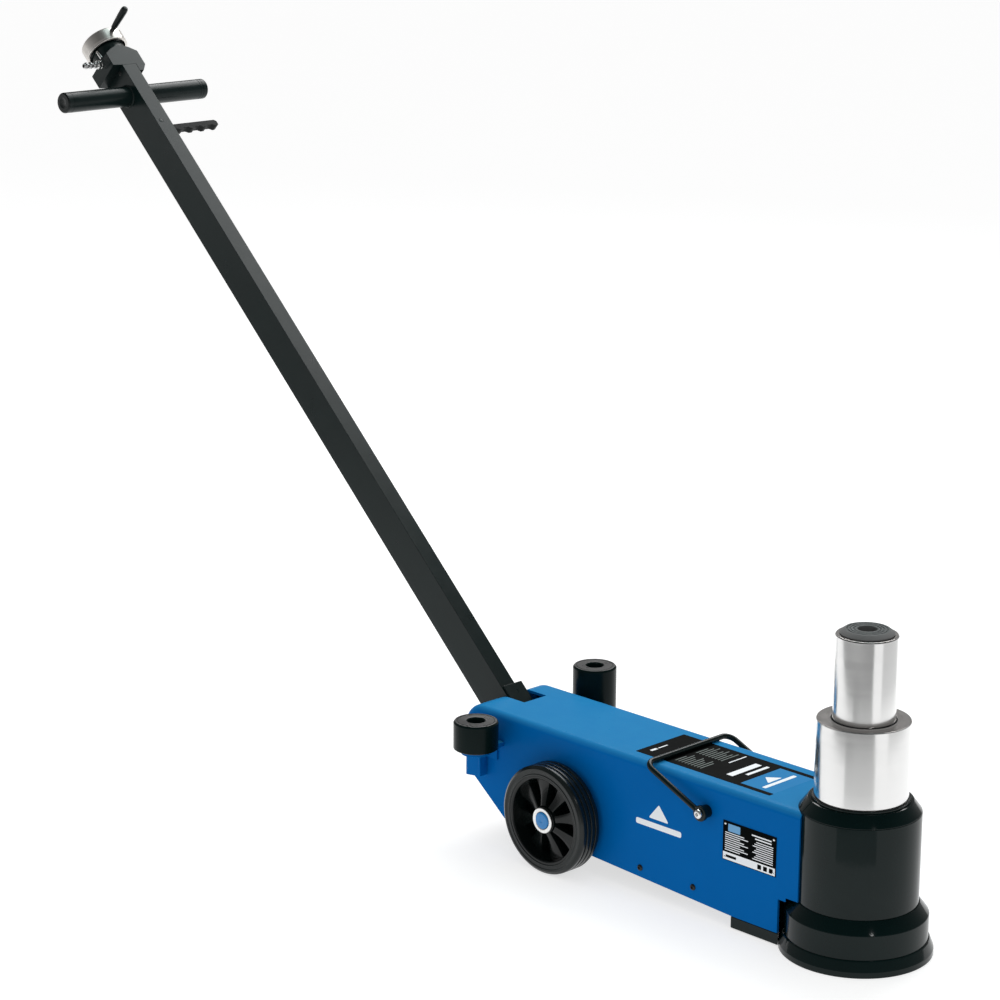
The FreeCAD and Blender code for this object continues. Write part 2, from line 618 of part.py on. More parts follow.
def rating_plate():
    """Blank alloy plate on the right side, with its four rivets as a node of their own."""
    face = "cover_width / 2 + 0.05"
    blank = block("rating_blank", ("-plate_left", "-plate_left + plate_long"),
                  ("-(%s) - plate_thick" % face, "-(%s)" % face), ("plate_low", "plate_low + plate_tall"))
    rivets = []
    holes = []
    for k, (across, up) in enumerate((("4", "4"), ("plate_long - 4", "4"), ("4", "plate_tall - 4"),
                                      ("plate_long - 4", "plate_tall - 4"))):
        at = ("-plate_left + " + across, "plate_low + " + up)
        holes.append(round_bar("rating_hole_%d" % k, "rivet_dia / 4 + 0.1", "-cover_width", "-(%s)" % HALF,
                               "y", at))
        shank = round_bar("rivet_shank_%d" % k, "rivet_dia / 4", "-(%s)" % face + " - plate_thick - 0.05",
                          "-(%s)" % face, "y", at)
        head = taper("rivet_head_%d" % k, "rivet_dia / 4 + 0.2", "rivet_dia / 2",
                     "-(%s) - plate_thick - 1" % face, "-(%s) - plate_thick - 0.05" % face, "y", at)
        rivets.append(join("rivet_%d" % k, shank, head))
    return cut("rating_plate", blank, *holes), group("plate_rivets", *rivets)


# ---------------------------------------------------------------- pump and tank
def pump_block():
    """Valve and pump block behind the cylinder, cut to the ring and bored for the piston rod."""
    blank = block("pump_blank", ("-block_back", "-%s / 2" % CYL_R), ("-block_width / 2", "block_width / 2"),
                  ("skirt_height + fit_gap", "block_top"))
    foot = round_bar("pump_foot_cut", "ring_dia / 2 + fit_gap", "0", "ring_top + fit_gap")
    wall = round_bar("pump_wall_cut", "%s + fit_gap" % CYL_R, "0", "block_top + 5")
    bore = round_bar("pump_bore", "piston_rod / 2 + slide_gap", "-block_back - 1",
                     "-block_back + pump_stroke + 12", "x", ("0", "motor_height"))
    return cut("pump_block", blank, foot, wall, bore)


def air_motor():
    """Air motor barrel bolted to the pump block, with its port on top."""
    barrel = round_bar("motor_barrel", "motor_dia / 2", "-%s" % MOTOR_BACK, "-block_back - 0.1", "x",
                       ("0", "motor_height"))
    boss = round_bar("motor_boss", "9", "motor_height", "motor_height + motor_dia / 2 + 4", "z",
                     ("-%s + 16" % MOTOR_BACK, "0"))
    bore = round_bar("motor_hollow", "motor_bore / 2", "-%s + 6" % MOTOR_BACK, "-block_back", "x",
                     ("0", "motor_height"))
    port = round_bar("motor_port", "3", "motor_height", "motor_height + motor_dia", "z",
                     ("-%s + 16" % MOTOR_BACK, "0"))
    return cut("air_motor", join("motor_body", barrel, boss), bore, port)


def air_piston():
    """Air piston and plunger, drawn at the rear end of the stroke."""
    start = "-%s + 24" % MOTOR_BACK
    head = round_bar("piston_head", "motor_bore / 2 - slide_gap", start, start + " + piston_thick", "x",
                     ("0", "motor_height"))
    rod = round_bar("plunger", "piston_rod / 2", start + " + piston_thick - 1", "-block_back + 5", "x",
                    ("0", "motor_height"))
    return join("air_piston", head, rod)


def oil_tank():
    """Welded oil tank with a filler hole."""
    outer = block("tank_outer", ("-tank_back", "-tank_front"), ("-tank_near", "tank_far"),
                  ("tank_low", "tank_top"))
    inner = block("tank_inner", ("-tank_back + tank_wall", "-tank_front - tank_wall"),
                  ("-tank_near + tank_wall", "tank_far - tank_wall"),
                  ("tank_low + tank_wall", "tank_top - tank_wall"))
    mouth = round_bar("tank_mouth", "plug_dia / 2 + slide_gap", "tank_top - 10", "tank_top + 5", "z",
                      ("-tank_back + 30", "0"))
    outlet = round_bar("tank_outlet", "pipe_dia / 2 + slide_gap", "-tank_front - 10", "-tank_front + 5", "x",
                       ("-tank_near + 12", "motor_height - 15"))
    return cut("oil_tank", outer, inner, mouth, outlet)


def filler_plug():
    """Threaded plug of the oil tank."""
    at = ("-tank_back + 30", "0")
    shank = round_bar("plug_shank", "plug_dia / 2", "tank_top - 8", "tank_top + 0.1", "z", at)
    head = round_bar("plug_head", "plug_dia / 2 + 4", "tank_top + 0.1", "tank_top + 6", "z", at)
    key = round_bar("plug_key", "5", "tank_top + 2", "tank_top + 7", "z", at)
    return cut("filler_plug", join("plug_body", shank, head), key)


def oil_pipe():
    """Suction pipe from the tank to the pump block, beside the air motor."""
    return group("oil_pipe", round_bar("oil_pipe_run", "pipe_dia / 2", "-tank_front - 2", "-block_back - 0.1",
                                       "x", ("-tank_near + 12", "motor_height - 15")))


def cover_hose():
    """Air hose from the swivel at the handle pivot to the port of the air motor."""
    radius = size("hose_dia") / 2
    port = -(size("block_back") + size("motor_length")) + 16
    side = size("tank_far") + 17
    points = [V(-size("pivot_back") + 14.2, side, size("pivot_height")),
              V(-size("tank_back") - 60, side, size("pivot_height") + 5),
              V(port, side, size("pivot_height") + 15), V(port, 0, size("pivot_height") + 15),
              V(port, 0, size("motor_height") + size("motor_dia") / 2 + 4.1)]
    return shaped("cover_hose", tube(along(points, [200, 24, 22]), radius))


def hose_union():
    """Banjo union that feeds the hose from the drilled pivot pin."""
    body = round_bar("union_body", "14", "tank_far + 10", "tank_far + 24", "y", ("-pivot_back", "pivot_height"))
    hole = round_bar("union_hole", "pin_dia / 2 + run_gap", "39", "55", "y", ("-pivot_back", "pivot_height"))
    return cut("hose_union", body, hole)


# ---------------------------------------------------------------- wheels
def tyre(side):
    """Solid rubber tyre with three tread grooves and rounded shoulders."""
    crown = "wheel_dia / 2"
    seat = "rim_dia / 2"
    points = [(seat, "0"), (crown + " - 4", "0"), (crown + " - 1.2", "2"), (crown, "5")]
    for k in range(3):
        place = "wheel_width * %g" % (0.28 + 0.22 * k)
        points += [(crown, place + " - 1.3"), (crown + " - 1.8", place + " - 0.8"),
                   (crown + " - 1.8", place + " + 0.8"), (crown, place + " + 1.3")]
    points += [(crown, "wheel_width - 5"), (crown + " - 1.2", "wheel_width - 2"),
               (crown + " - 4", "wheel_width"), (seat, "wheel_width")]
    return set_wheel(turned("tyre_" + side, points), side)


def set_wheel(obj, side):
    """Place a piece drawn with its outer face up onto its end of the axle."""
    if side == "right":
        return put(obj, "-wheel_back", "-%s" % WHEEL_IN, AXLE_Z, (1, 0, 0), "90")
    return put(obj, "-wheel_back", WHEEL_IN, AXLE_Z, (1, 0, 0), "-90")


def rim(side):
    """Moulded rim with eight deep spokes."""
    name = "rim_" + side
    outer = turned(name + "_band", [
        ("rim_dia / 2 - rim_wall", "1"), ("rim_dia / 2 - 0.1", "1"), ("rim_dia / 2 - 0.1", "wheel_width - 1"),
        ("rim_dia / 2 - rim_wall + 2", "wheel_width - 1"), ("rim_dia / 2 - rim_wall", "wheel_width - 6"),
    ])
    hub = turned(name + "_hub", [
        ("bush_dia / 2 + slide_gap", "1"), ("hub_dia / 2", "1"), ("hub_dia / 2 - 2", "wheel_width - 3"),
        ("bush_dia / 2 + slide_gap", "wheel_width - 3"),
    ])
    web = turned(name + "_web", [
        ("hub_dia / 2 - 3", "5"), ("rim_dia / 2 - 2", "5"), ("rim_dia / 2 - 2", "9"), ("hub_dia / 2 - 3", "9"),
    ])
    spokes = []
    for k in range(8):
        spoke = block("%s_spoke_%d" % (name, k), ("hub_dia / 2 - 4", "rim_dia / 2 - 3"),
                      ("-spoke_width / 2", "spoke_width / 2"), ("wheel_width - 8 - web_thick", "wheel_width - 8"))
        arm = put(group("%s_arm_%d" % (name, k), spoke), axis=(0, 0, 1), angle="%g" % (45 * k + 0.001))
        spokes.append(arm)
    return set_wheel(join(name, outer, hub, web, *spokes), side)


def wheel_bush(side):
    """Bush between the rim and the axle."""
    bush = turned("bush_" + side, [
        ("axle_dia / 2 + run_gap", "1"), ("bush_dia / 2", "1"), ("bush_dia / 2", "wheel_width - 3"),
        ("axle_dia / 2 + run_gap", "wheel_width - 3"),
    ])
    return set_wheel(bush, side)


def axle_set():
    """Axle, its spacers on the side plates, the spring washers and the end caps."""
    at = ("-wheel_back", AXLE_Z)
    end = "wheel_face - 1.5"
    axle = group("axle", round_bar("axle_bar", "axle_dia / 2", "-(%s)" % end, end, "y", at))
    spacers = []
    clips = []
    caps = []
    for side, sign in (("right", -1), ("left", 1)):
        def span(low, high):
            return (low, high) if sign > 0 else ("-(%s)" % high, "-(%s)" % low)
        low, high = span("%s - 10" % INSIDE, "%s + 1 - fit_gap" % WHEEL_IN)
        sleeve = round_bar("spacer_sleeve_" + side, "axle_dia / 2 + 2.8", low, high, "y", at)
        low, high = span("%s + fit_gap" % HALF, "%s + 1 - fit_gap" % WHEEL_IN)
        flange = round_bar("spacer_flange_" + side, "axle_dia / 2 + 9", low, high, "y", at)
        hole = round_bar("spacer_hole_" + side, "axle_dia / 2 + slide_gap", "-cover_width", "cover_width", "y", at)
        spacers.append(cut("spacer_" + side, join("spacer_body_" + side, sleeve, flange), hole))
        low, high = span("wheel_face - 2.7", "wheel_face - 0.2")
        ring = round_bar("clip_ring_" + side, "clip_dia / 2", low, high, "y", at)
        inside = round_bar("clip_hole_" + side, "axle_dia / 2 + slide_gap", "-200", "200", "y", at)
        clips.append(cut("clip_" + side, ring, inside))
        low, high = span("wheel_face - 1.4", "wheel_face + 1.6")
        cap = round_bar("cap_disc_" + side, "axle_dia / 2 - 0.5", low, high, "y", at)
        caps.append(cap)
    return axle, group("axle_spacers", *spacers), group("axle_clips", *clips), group("axle_caps", *caps)


# ---------------------------------------------------------------- carrying bail
def bail():
    """Bent rod with an eye at each end, lying back on the deck."""
    side = size("bail_side")
    low = size("bail_height")
    rise = size("deck_height") + size("bail_rod_dia") / 2 + size("fit_gap") - low
    reach = math.sqrt(size("bail_arm") ** 2 - rise ** 2)
    back = -size("bail_back")
    inset = (size("eye_dia") / 2 - 1.2) / size("bail_arm")
    root = V(back - reach * inset, side, low + rise * inset)
    points = [V(root.x, -side, root.z), V(back - reach, -side, low + rise),
              V(back - reach, side, low + rise), root]
    bend = size("bail_bend")
    rod = shaped("bail_rod_run", tube(along(points, [bend, bend]), size("bail_rod_dia") / 2))
    eyes = []
    holes = []
    for name, sign in (("right", "-"), ("left", "")):
        centre = "(%sbail_side)" % sign
        eyes.append(round_bar("bail_eye_" + name, "eye_dia / 2", centre + " - eye_thick / 2",
                              centre + " + eye_thick / 2", "y", ("-bail_back", "bail_height")))
        holes.append(round_bar("bail_hole_" + name, "eye_bolt_dia / 2 + run_gap", centre + " - eye_thick",
                               centre + " + eye_thick", "y", ("-bail_back", "bail_height")))
    return cut("bail_rod", join("bail_blank", rod, *eyes), *holes)


def bail_fixings():
    """Bosses on the side plates and the bolts that the bail turns on."""
    at = ("-bail_back", "bail_height")
    bosses = []
    bolts = []
    for name, sign in (("right", -1), ("left", 1)):
        def span(low, high):
            return (low, high) if sign > 0 else ("-(%s)" % high, "-(%s)" % low)
        low, high = span("%s + 0.05" % HALF, "bail_side - eye_thick / 2 - fit_gap")
        boss = round_bar("boss_disc_" + name, "eye_dia / 2 - 1.8", low, high, "y", at)
        hole = round_bar("boss_hole_" + name, "eye_bolt_dia / 2 + slide_gap", "-200", "200", "y", at)
        bosses.append(cut("boss_" + name, boss, hole))
        low, high = span("%s + 0.1" % HALF, "bail_side + eye_thick / 2 + fit_gap")
        shank = round_bar("bolt_shank_" + name, "eye_bolt_dia / 2", low, high, "y", at)
        low, high = span("bail_side + eye_thick / 2 + fit_gap", "bail_side + eye_thick / 2 + fit_gap + 4.6")
        head = round_bar("bolt_head_" + name, "eye_bolt_dia / 2 + 2.6", low, high, "y", at)
        bolts.append(join("bolt_" + name, shank, head))
    return group("bail_bosses", *bosses), group("bail_bolts", *bolts)


# ---------------------------------------------------------------- height adapters
def adapter(name, side, height):
    """Height adapter with a socket on top and a spigot below, standing on its shelf."""
    piece = turned(name, [
        ("0", "-spigot_length"), ("spigot_dia / 2 - 1", "-spigot_length"), ("spigot_dia / 2", "-spigot_length + 1"),
        ("spigot_dia / 2", "0"), ("adapter_dia / 2 - 1", "0"), ("adapter_dia / 2", "1"),
        ("adapter_dia / 2", height + " - 1.5"), ("adapter_dia / 2 - 1.5", height),
        (SOCKET_R + " + 1", height), (SOCKET_R, height + " - 1"), (SOCKET_R, height + " - socket_depth"),
        ("0", height + " - socket_depth"),
    ])
    return put(piece, "-adapter_back", "%sadapter_side" % side, "shelf_top + fit_gap")


def adapter_shelf(name, sign):
    """Shelf on a side plate, with a hole for the adapter's spigot and a short gusset."""
    def span(low, high):
        return (low, high) if sign > 0 else ("-(%s)" % high, "-(%s)" % low)
    height = ("shelf_top - shelf_thick", "shelf_top")
    at = ("-adapter_back", "adapter_side" if sign > 0 else "-adapter_side")
    end = round_bar(name + "_end", "shelf_dia / 2", height[0], height[1], "z", at)
    neck = block(name + "_neck", ("-adapter_back - 30", "-adapter_back + 8"),
                 span("%s + 0.05" % HALF, "adapter_side - 9"), height)
    rib = block(name + "_rib", ("-adapter_back - 30", "-adapter_back - 26"),
                span("%s + 0.05" % HALF, "%s + 15" % HALF), ("shelf_top - 58", "shelf_top - shelf_thick + 1"))
    foot = block(name + "_foot", ("-adapter_back - 30", "-adapter_back - 4"),
                 span("%s + 0.05" % HALF, "%s + 3" % HALF), ("shelf_top - 30", "shelf_top - shelf_thick + 1"))
    hole = round_bar(name + "_hole", SOCKET_R, "shelf_top - 20", "shelf_top + 5", "z", at)
    return cut(name, join(name + "_body", end, neck, rib, foot), hole)


# ---------------------------------------------------------------- handle pivot
def pivot_set():
    """Pivot pin, the bosses that hold it inside the side plates and the notched sector."""
    at = ("-pivot_back", "pivot_height")
    pin = group("pivot_pin", round_bar("pin_bar", "pin_dia / 2", "-%s + fit_gap" % INSIDE,
                                       "%s - fit_gap" % INSIDE, "y", at))
    hole = round_bar("boss_bore", "pin_dia / 2 + run_gap", "-cover_width", "cover_width", "y", at)
    near = round_bar("pivot_boss_near", "22", "-%s + 0.1" % INSIDE, "-slot_near - 1", "y", at)
    far = round_bar("pivot_boss_far", "22", "%s - 11.9" % INSIDE, "%s - 0.1" % INSIDE, "y", at)
    bosses = group("pivot_bosses", cut("boss_right", near, hole), cut("boss_left", far, hole))
    return pin, bosses


def lock_sector():
    """Notched sector under the pivot; each notch faces the lock bolt at one handle position."""
    ring = round_bar("sector_ring", "sector_out", "-sector_thick / 2", "sector_thick / 2", "y")
    inside = round_bar("sector_inside", "sector_in", "-sector_thick", "sector_thick", "y")
    back = block("sector_back", ("-200", "-24"), ("-20", "20"), ("-200", "200"))
    top = block("sector_top", ("-200", "200"), ("-20", "20"), ("-30", "200"))
    notches = []
    for k, turn in enumerate(("0", "raise_angle", "-lower_angle")):
        tool = block("notch_tool_%d" % k, ("-lock_set - notch_width / 2", "-lock_set + notch_width / 2"),
                     ("-20", "20"), ("-sector_out + 11", "-20"))
        notches.append(put(group("sector_notch_%d" % k, tool), axis=(0, 1, 0),
                           angle="handle_lean - 90 + %s" % turn))
    arc = cut("sector_arc", ring, inside, back, top, *notches)
    bar = block("sector_bar", ("4", "34"), ("-%s + fit_gap" % INSIDE, "%s - fit_gap" % INSIDE),
                ("-sector_out - 8", "-sector_out + 6.5"))
    sector = cut("lock_sector", join("sector_body", arc, bar),
                 round_bar("sector_relief", "sector_in + 1", "-cover_width", "cover_width", "y"))
    return put(sector, "-pivot_back", "0", "pivot_height")


# ---------------------------------------------------------------- handle, drawn upright about its pivot
def handle_tube():
    """Rectangular tube with holes for the pin, the grip bar, the lever and its pin."""
    outer = block("tube_outer", ("-tube_deep / 2", "tube_deep / 2"), ("-tube_wide / 2", "tube_wide / 2"),
                  ("-tube_tail", "tube_length"))
    inner = block("tube_inner", ("-tube_deep / 2 + tube_wall", "tube_deep / 2 - tube_wall"),
                  ("-tube_wide / 2 + tube_wall", "tube_wide / 2 - tube_wall"),
                  ("-tube_tail - 5", "tube_length + 5"))
    pin = round_bar("tube_pin_hole", "pin_dia / 2 + run_gap", "-50", "50", "y", ("0", "0"))
    bar = round_bar("tube_bar_hole", "bar_dia / 2 + slide_gap", "-50", "50", "y", ("0", "bar_height"))
    lever = block("tube_lever_slot", ("-lever_deep / 2 - 1", "lever_deep / 2 + 1"), ("0", "tube_wide"),
                  ("%s - lever_thick / 2 - 1.5" % LEVER_Z, "%s + 6" % LEVER_TOP))
    pivot = round_bar("tube_lever_hole", "lever_pin_dia / 2 + slide_gap", "-50", "50", "x",
                      ("-lever_offset", LEVER_Z))
    return on_handle(cut("handle_tube", outer, inner, pin, bar, lever, pivot))


def handle_foot():
    """Cheek on the left of the tube and the plate across its front."""
    wall = "tube_wide / 2 + 0.1"
    cheek = block("foot_cheek", ("-tube_deep / 2", "tube_deep / 2 + 0.1"), (wall, wall + " + cheek_thick"),
                  ("-tube_tail - 2", "cheek_top"))
    face = block("foot_face", ("tube_deep / 2 + 0.1", "tube_deep / 2 + face_plate"),
                 ("-tube_wide / 2 + 2", wall + " + cheek_thick"), ("-tube_tail - 2", "cheek_top"))
    hole = round_bar("foot_hole", "pin_dia / 2 + run_gap", "-60", "60", "y")
    return on_handle(cut("handle_foot", join("foot_body", cheek, face), hole))


def grip_bar():
    """Cross bar through the top of the handle, with a plug in each end."""
    end = "bar_length / 2"
    outer = round_bar("bar_outer", "bar_dia / 2", "-%s" % end, end, "y", ("0", "bar_height"))
    inner = round_bar("bar_inner", "bar_dia / 2 - bar_wall", "-%s - 1" % end, end + " + 1", "y",
                      ("0", "bar_height"))
    bar = on_handle(cut("grip_bar", outer, inner))
    plugs = []
    for name, sign in (("right", -1), ("left", 1)):
        def span(low, high):
            return (low, high) if sign > 0 else ("-(%s)" % high, "-(%s)" % low)
        low, high = span(end + " - 14", end + " + 0.2")
        stem = round_bar("plug_stem_" + name, "bar_dia / 2 - bar_wall - 0.05", low, high, "y", ("0", "bar_height"))
        low, high = span(end + " + 0.1", end + " + 3")
        disc = round_bar("plug_disc_" + name, "bar_dia / 2", low, high, "y", ("0", "bar_height"))
        plugs.append(join("bar_plug_" + name, stem, disc))
    return bar, on_handle(group("bar_plugs", *plugs))


def valve_housing():
    """Valve housing on the end of the tube, with the neck and the post of the control ring."""
    low = "tube_length"
    half = "head_width / 2"
    shoulder = "%s - 13" % HEAD_TOP
    ear = "tube_wide / 2 + 0.2"
    body = plate("housing_body", "YZ_Plane", [
        ("-%s" % half, low + " + 1.5"), ("-%s" % half, shoulder), ("-%s + 13" % half, "%s - 5" % HEAD_TOP),
        ("-5", HEAD_TOP), ("6", HEAD_TOP), ("%s - 12" % half, "%s - 5" % HEAD_TOP), (half, shoulder + " - 1"),
        (half, low + " - 3"), (half + " - 9", low + " - 14"), (ear, low + " - 14"), (ear, low + " + 0.1"),
        ("-(%s)" % ear, low + " + 0.1"),
    ], "tube_deep + 0.4")
    neck = round_bar("housing_neck", "neck_dia / 2", "%s - 12" % HEAD_TOP, "%s + neck_height" % HEAD_TOP)
    post = round_bar("housing_post", "post_dia / 2", "%s - 1" % HEAD_TOP, "%s - knob_cap - fit_gap" % KNOB_TOP)
    bore = round_bar("housing_bore", "7", "tube_length - 1", "%s - 8" % KNOB_TOP)
    inlet = round_bar("housing_inlet", "nipple_dia / 2 - 1", "-head_width", "0", "y",
                      ("3", "tube_length + nipple_up"))
    return on_handle(cut("valve_housing", join("housing_blank", body, neck, post), bore, inlet))


def control_ring():
    """Turning ring on the post, closed at the end, with its lever as a node of its own."""
    ring = turned("control_ring", [
        ("post_dia / 2 + run_gap", "%s + 9" % KNOB_LOW), ("knob_dia / 2 - 4", "%s + 9" % KNOB_LOW),
        ("knob_dia / 2 - 4", KNOB_LOW), ("knob_dia / 2 - 1", KNOB_LOW), ("knob_dia / 2", "%s + 1" % KNOB_LOW),
        ("knob_dia / 2", "%s - 2.5" % KNOB_TOP), ("knob_dia / 2 - 2.5", KNOB_TOP), ("0", KNOB_TOP),
        ("0", "%s - knob_cap" % KNOB_TOP), ("post_dia / 2 + run_gap", "%s - knob_cap" % KNOB_TOP),
    ])
    height = "%s + 15" % KNOB_LOW
    stalk = round_bar("lever_stalk", "stalk_dia / 2", "knob_dia / 2 + 0.1", "knob_dia / 2 + 12", "x", ("0", height))
    grip = taper("lever_grip", "stalk_dia / 2 + 0.6", "stalk_dia / 2 + 2.3", "knob_dia / 2 + 9",
                 "stalk_reach", "x", ("0", height))
    return on_handle(ring), on_handle(join("control_lever", stalk, grip))


def air_inlet():
    """Ribbed quick-connect nipple and its hexagon on the right of the housing."""
    at = ("3", "tube_length + nipple_up")
    face = "-head_width / 2"
    hexagon = plate("inlet_hex", "XZ_Plane", [
        ("3 + 7.6 * cos(%d)" % (60 * k), "tube_length + nipple_up + 7.6 * sin(%d)" % (60 * k)) for k in range(6)
    ], "8")
    put(hexagon, "0", face + " - 0.1 - 4", "0")
    bore = round_bar("hex_bore", "nipple_dia / 2 + slide_gap", "-head_width", "0", "y", at)
    stem = round_bar("nipple_stem", "nipple_dia / 2", "%s - nipple_reach" % face, face + " - 0.1", "y", at)
    ribs = [round_bar("nipple_rib_%d" % k, "nipple_dia / 2 + 1.2", "%s - nipple_reach + %g" % (face, low),
                      "%s - nipple_reach + %g" % (face, low + 4), "y", at)
            for k, low in enumerate((3, 11, 19))]
    air = round_bar("nipple_air", "2.6", "-head_width - 20", "0", "y", at)
    nipple = cut("inlet_nipple", join("nipple_body", stem, *ribs), air)
    return on_handle(cut("inlet_nut", hexagon, bore)), on_handle(nipple)


def grip_lever():
    """Release lever beside the grip bar, scalloped for the fingers, turning on its pin."""
    low = "%s - lever_thick / 2" % LEVER_Z
    tip = "lever_reach"
    root = "%s - lever_thick * 0.36" % LEVER_Z
    points = [("-lever_offset - 5.5", low + " + 3"), ("-lever_offset - 5.5", LEVER_TOP + " - 3"),
              ("-lever_offset - 2.5", LEVER_TOP), (tip + " - 4", LEVER_TOP), (tip, LEVER_TOP + " - 3"),
              (tip, root)]
    for k in range(4):
        far = "%s - %g" % (tip, 4 + 24 * k)
        points += [(far, low), (far + " - 3", low), (far + " - 8", low + " + 3.2"),
                   (far + " - 16", low + " + 3.2"), (far + " - 21", low)]
    points += [("tube_wide / 2 - 6", low)]
    body = plate("grip_lever_blank", "YZ_Plane", points, "lever_deep")
    hole = round_bar("grip_lever_hole", "lever_pin_dia / 2 + run_gap", "-50", "50", "x",
                     ("-lever_offset", LEVER_Z))
    return on_handle(cut("grip_lever", body, hole))


def lever_pin():
    """Pin of the grip lever, across the handle tube."""
    return on_handle(group("lever_pin", round_bar("lever_pin_bar", "lever_pin_dia / 2", "-tube_deep / 2 - 1",
                                                  "tube_deep / 2 + 1", "x", ("-lever_offset", LEVER_Z))))


def lock_parts():
    """Lock rod with its hook over the lever, and the bolt at its lower end."""
    at = ("-lock_set", "lock_side")
    rod = round_bar("lock_rod_run", "lock_rod_dia / 2", "-13", "%s + 6" % LEVER_TOP, "z", at)
    hook = block("lock_hook", ("-lock_set - 3", "-lever_deep / 2 + 5"), ("lock_side - 2", "tube_wide / 2 - tube_wall - 0.4"),
                 ("%s + 0.25" % LEVER_TOP, "%s + 6" % LEVER_TOP))
    collar = round_bar("lock_collar", "lock_rod_dia / 2 + 1.7", "20", "24", "z", at)
    bolt = block("lock_bolt_bar", ("-tube_deep / 2 + tube_wall + 0.4", "-14"),
                 ("-5", "tube_wide / 2 - tube_wall - 0.4"), ("-lock_tip", "-13.1"))
    return on_handle(join("lock_rod", rod, hook, collar)), on_handle(group("lock_bolt", bolt))


def handle_air_line():
    """Air line inside the handle, from the housing down to the swivel round the pivot pin."""
    side = 5.5
    front = size("tube_deep") / 2 - size("tube_wall") - size("air_pipe_dia") / 2 - 0.7
    points = [V(front, side, size("tube_length")), V(front, side, 90), V(9, 0, 17.5)]
    line = tube(along(points, [180]), size("air_pipe_dia") / 2)
    return on_handle(group("handle_air_line", shaped("handle_air_run", line)))


def air_swivel():
    """Swivel round the pivot pin inside the tube, which the air line ends in."""
    body = round_bar("swivel_body", "15.5", "-tube_wide / 2 + tube_wall + 0.3", "3", "y")
    lug = round_bar("swivel_hole", "pin_dia / 2 + run_gap", "-50", "50", "y")
    nose = round_bar("swivel_nose", "5", "10", "17", "z", ("8", "-3"))
    return on_handle(cut("air_swivel", join("swivel_blank", body, nose), lug))


# ---------------------------------------------------------------- build, check and write
def build():
    """Make every node and return them in order."""
    nodes = [base_casting(), skid_block(), cylinder_tube(), head_nut(), ram_wiper(), big_ram(), piston_seal(),
             head_ring(), small_ram(), saddle_pad(), return_spring(), chassis_cover(), belly_pan(),
             cover_screws(), pump_block(), air_motor(), air_piston(), oil_tank(), filler_plug(), oil_pipe(),
             cover_hose(), hose_union()]
    nodes += rating_plate()
    for side in ("right", "left"):
        nodes += [tyre(side), rim(side), wheel_bush(side)]
    nodes += axle_set()
    nodes += [bail()]
    nodes += bail_fixings()
    nodes += [adapter("adapter_short", "-", "short_adapter"), adapter("adapter_tall", "", "tall_adapter"),
              adapter_shelf("shelf_right", -1), adapter_shelf("shelf_left", 1)]
    nodes += pivot_set()
    nodes += [lock_sector(), handle_tube(), handle_foot()]
    nodes += grip_bar()
    nodes += [valve_housing()]
    nodes += control_ring()
    nodes += air_inlet()
    nodes += [grip_lever(), lever_pin()]
    nodes += lock_parts()
    nodes += [handle_air_line(), air_swivel()]
    return nodes


def check(nodes):
    """Stop if any object failed or any node is empty or not valid."""
    doc.recompute()
    failed = [obj.Name for obj in doc.Objects if "Invalid" in obj.State or "Error" in obj.State]
    bad = [obj.Label for obj in nodes
           if obj.Shape.isNull() or not obj.Shape.isValid() or not obj.Shape.Solids or obj.Shape.Volume <= 0]
    if failed or bad:
        raise RuntimeError("failed objects %s, bad nodes %s" % (failed, bad))


def write(nodes):
    """Write one STEP file for each node."""
    os.makedirs("parts", exist_ok=True)
    for obj in nodes:
        obj.Shape.exportStep("parts/%s.step" % obj.Label)


made_nodes = build()
check(made_nodes)
write(made_nodes)
print("%d nodes written" % len(made_nodes))
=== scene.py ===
"""Air-hydraulic trolley jack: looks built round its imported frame.

Metres, in the frame of the model: +X from the handle towards the ram, +Z up, the right side is -Y.
"""

from __future__ import annotations

import json
import logging
import math
from collections.abc import Callable, Iterable, Sequence
from dataclasses import dataclass, field
from enum import Enum

import bmesh
import bpy
from mathutils import Matrix, Vector, noise

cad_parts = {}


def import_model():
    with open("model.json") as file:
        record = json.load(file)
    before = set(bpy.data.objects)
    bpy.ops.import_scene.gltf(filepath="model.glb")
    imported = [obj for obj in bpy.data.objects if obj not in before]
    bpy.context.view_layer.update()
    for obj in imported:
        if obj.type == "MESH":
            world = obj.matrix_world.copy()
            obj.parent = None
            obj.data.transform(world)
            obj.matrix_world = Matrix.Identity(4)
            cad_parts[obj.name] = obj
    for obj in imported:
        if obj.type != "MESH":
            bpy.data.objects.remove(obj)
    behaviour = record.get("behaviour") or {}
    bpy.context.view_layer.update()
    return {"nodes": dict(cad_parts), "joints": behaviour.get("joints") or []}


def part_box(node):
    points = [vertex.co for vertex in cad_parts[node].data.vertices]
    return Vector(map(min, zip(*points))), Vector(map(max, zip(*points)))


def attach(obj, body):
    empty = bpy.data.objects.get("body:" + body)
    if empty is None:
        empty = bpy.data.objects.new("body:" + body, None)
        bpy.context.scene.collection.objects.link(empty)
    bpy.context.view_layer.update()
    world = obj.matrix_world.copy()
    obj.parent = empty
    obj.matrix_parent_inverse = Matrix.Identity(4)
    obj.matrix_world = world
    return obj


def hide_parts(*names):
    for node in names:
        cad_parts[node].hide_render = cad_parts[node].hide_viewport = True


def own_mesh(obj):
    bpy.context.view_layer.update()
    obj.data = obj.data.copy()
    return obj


LOG = logging.getLogger("trolley_jack")
MM = 0.001
IDENTITY = Matrix.Identity(4)
Profile = list[tuple[float, float]]
Colour = tuple[float, float, float]


# ------------------------------------------------------------------ shared shader effects
class Effect(Enum):
    """Shader node groups that more than one finish uses."""

    MOTTLE = "Mottle"
    GRAIN = "Surface grain"
    TURNING = "Turning marks"
    EDGE_HIGHLIGHT = "Painted edge highlight"
    PAINTED_TOP_LIGHT = "Painted top light"


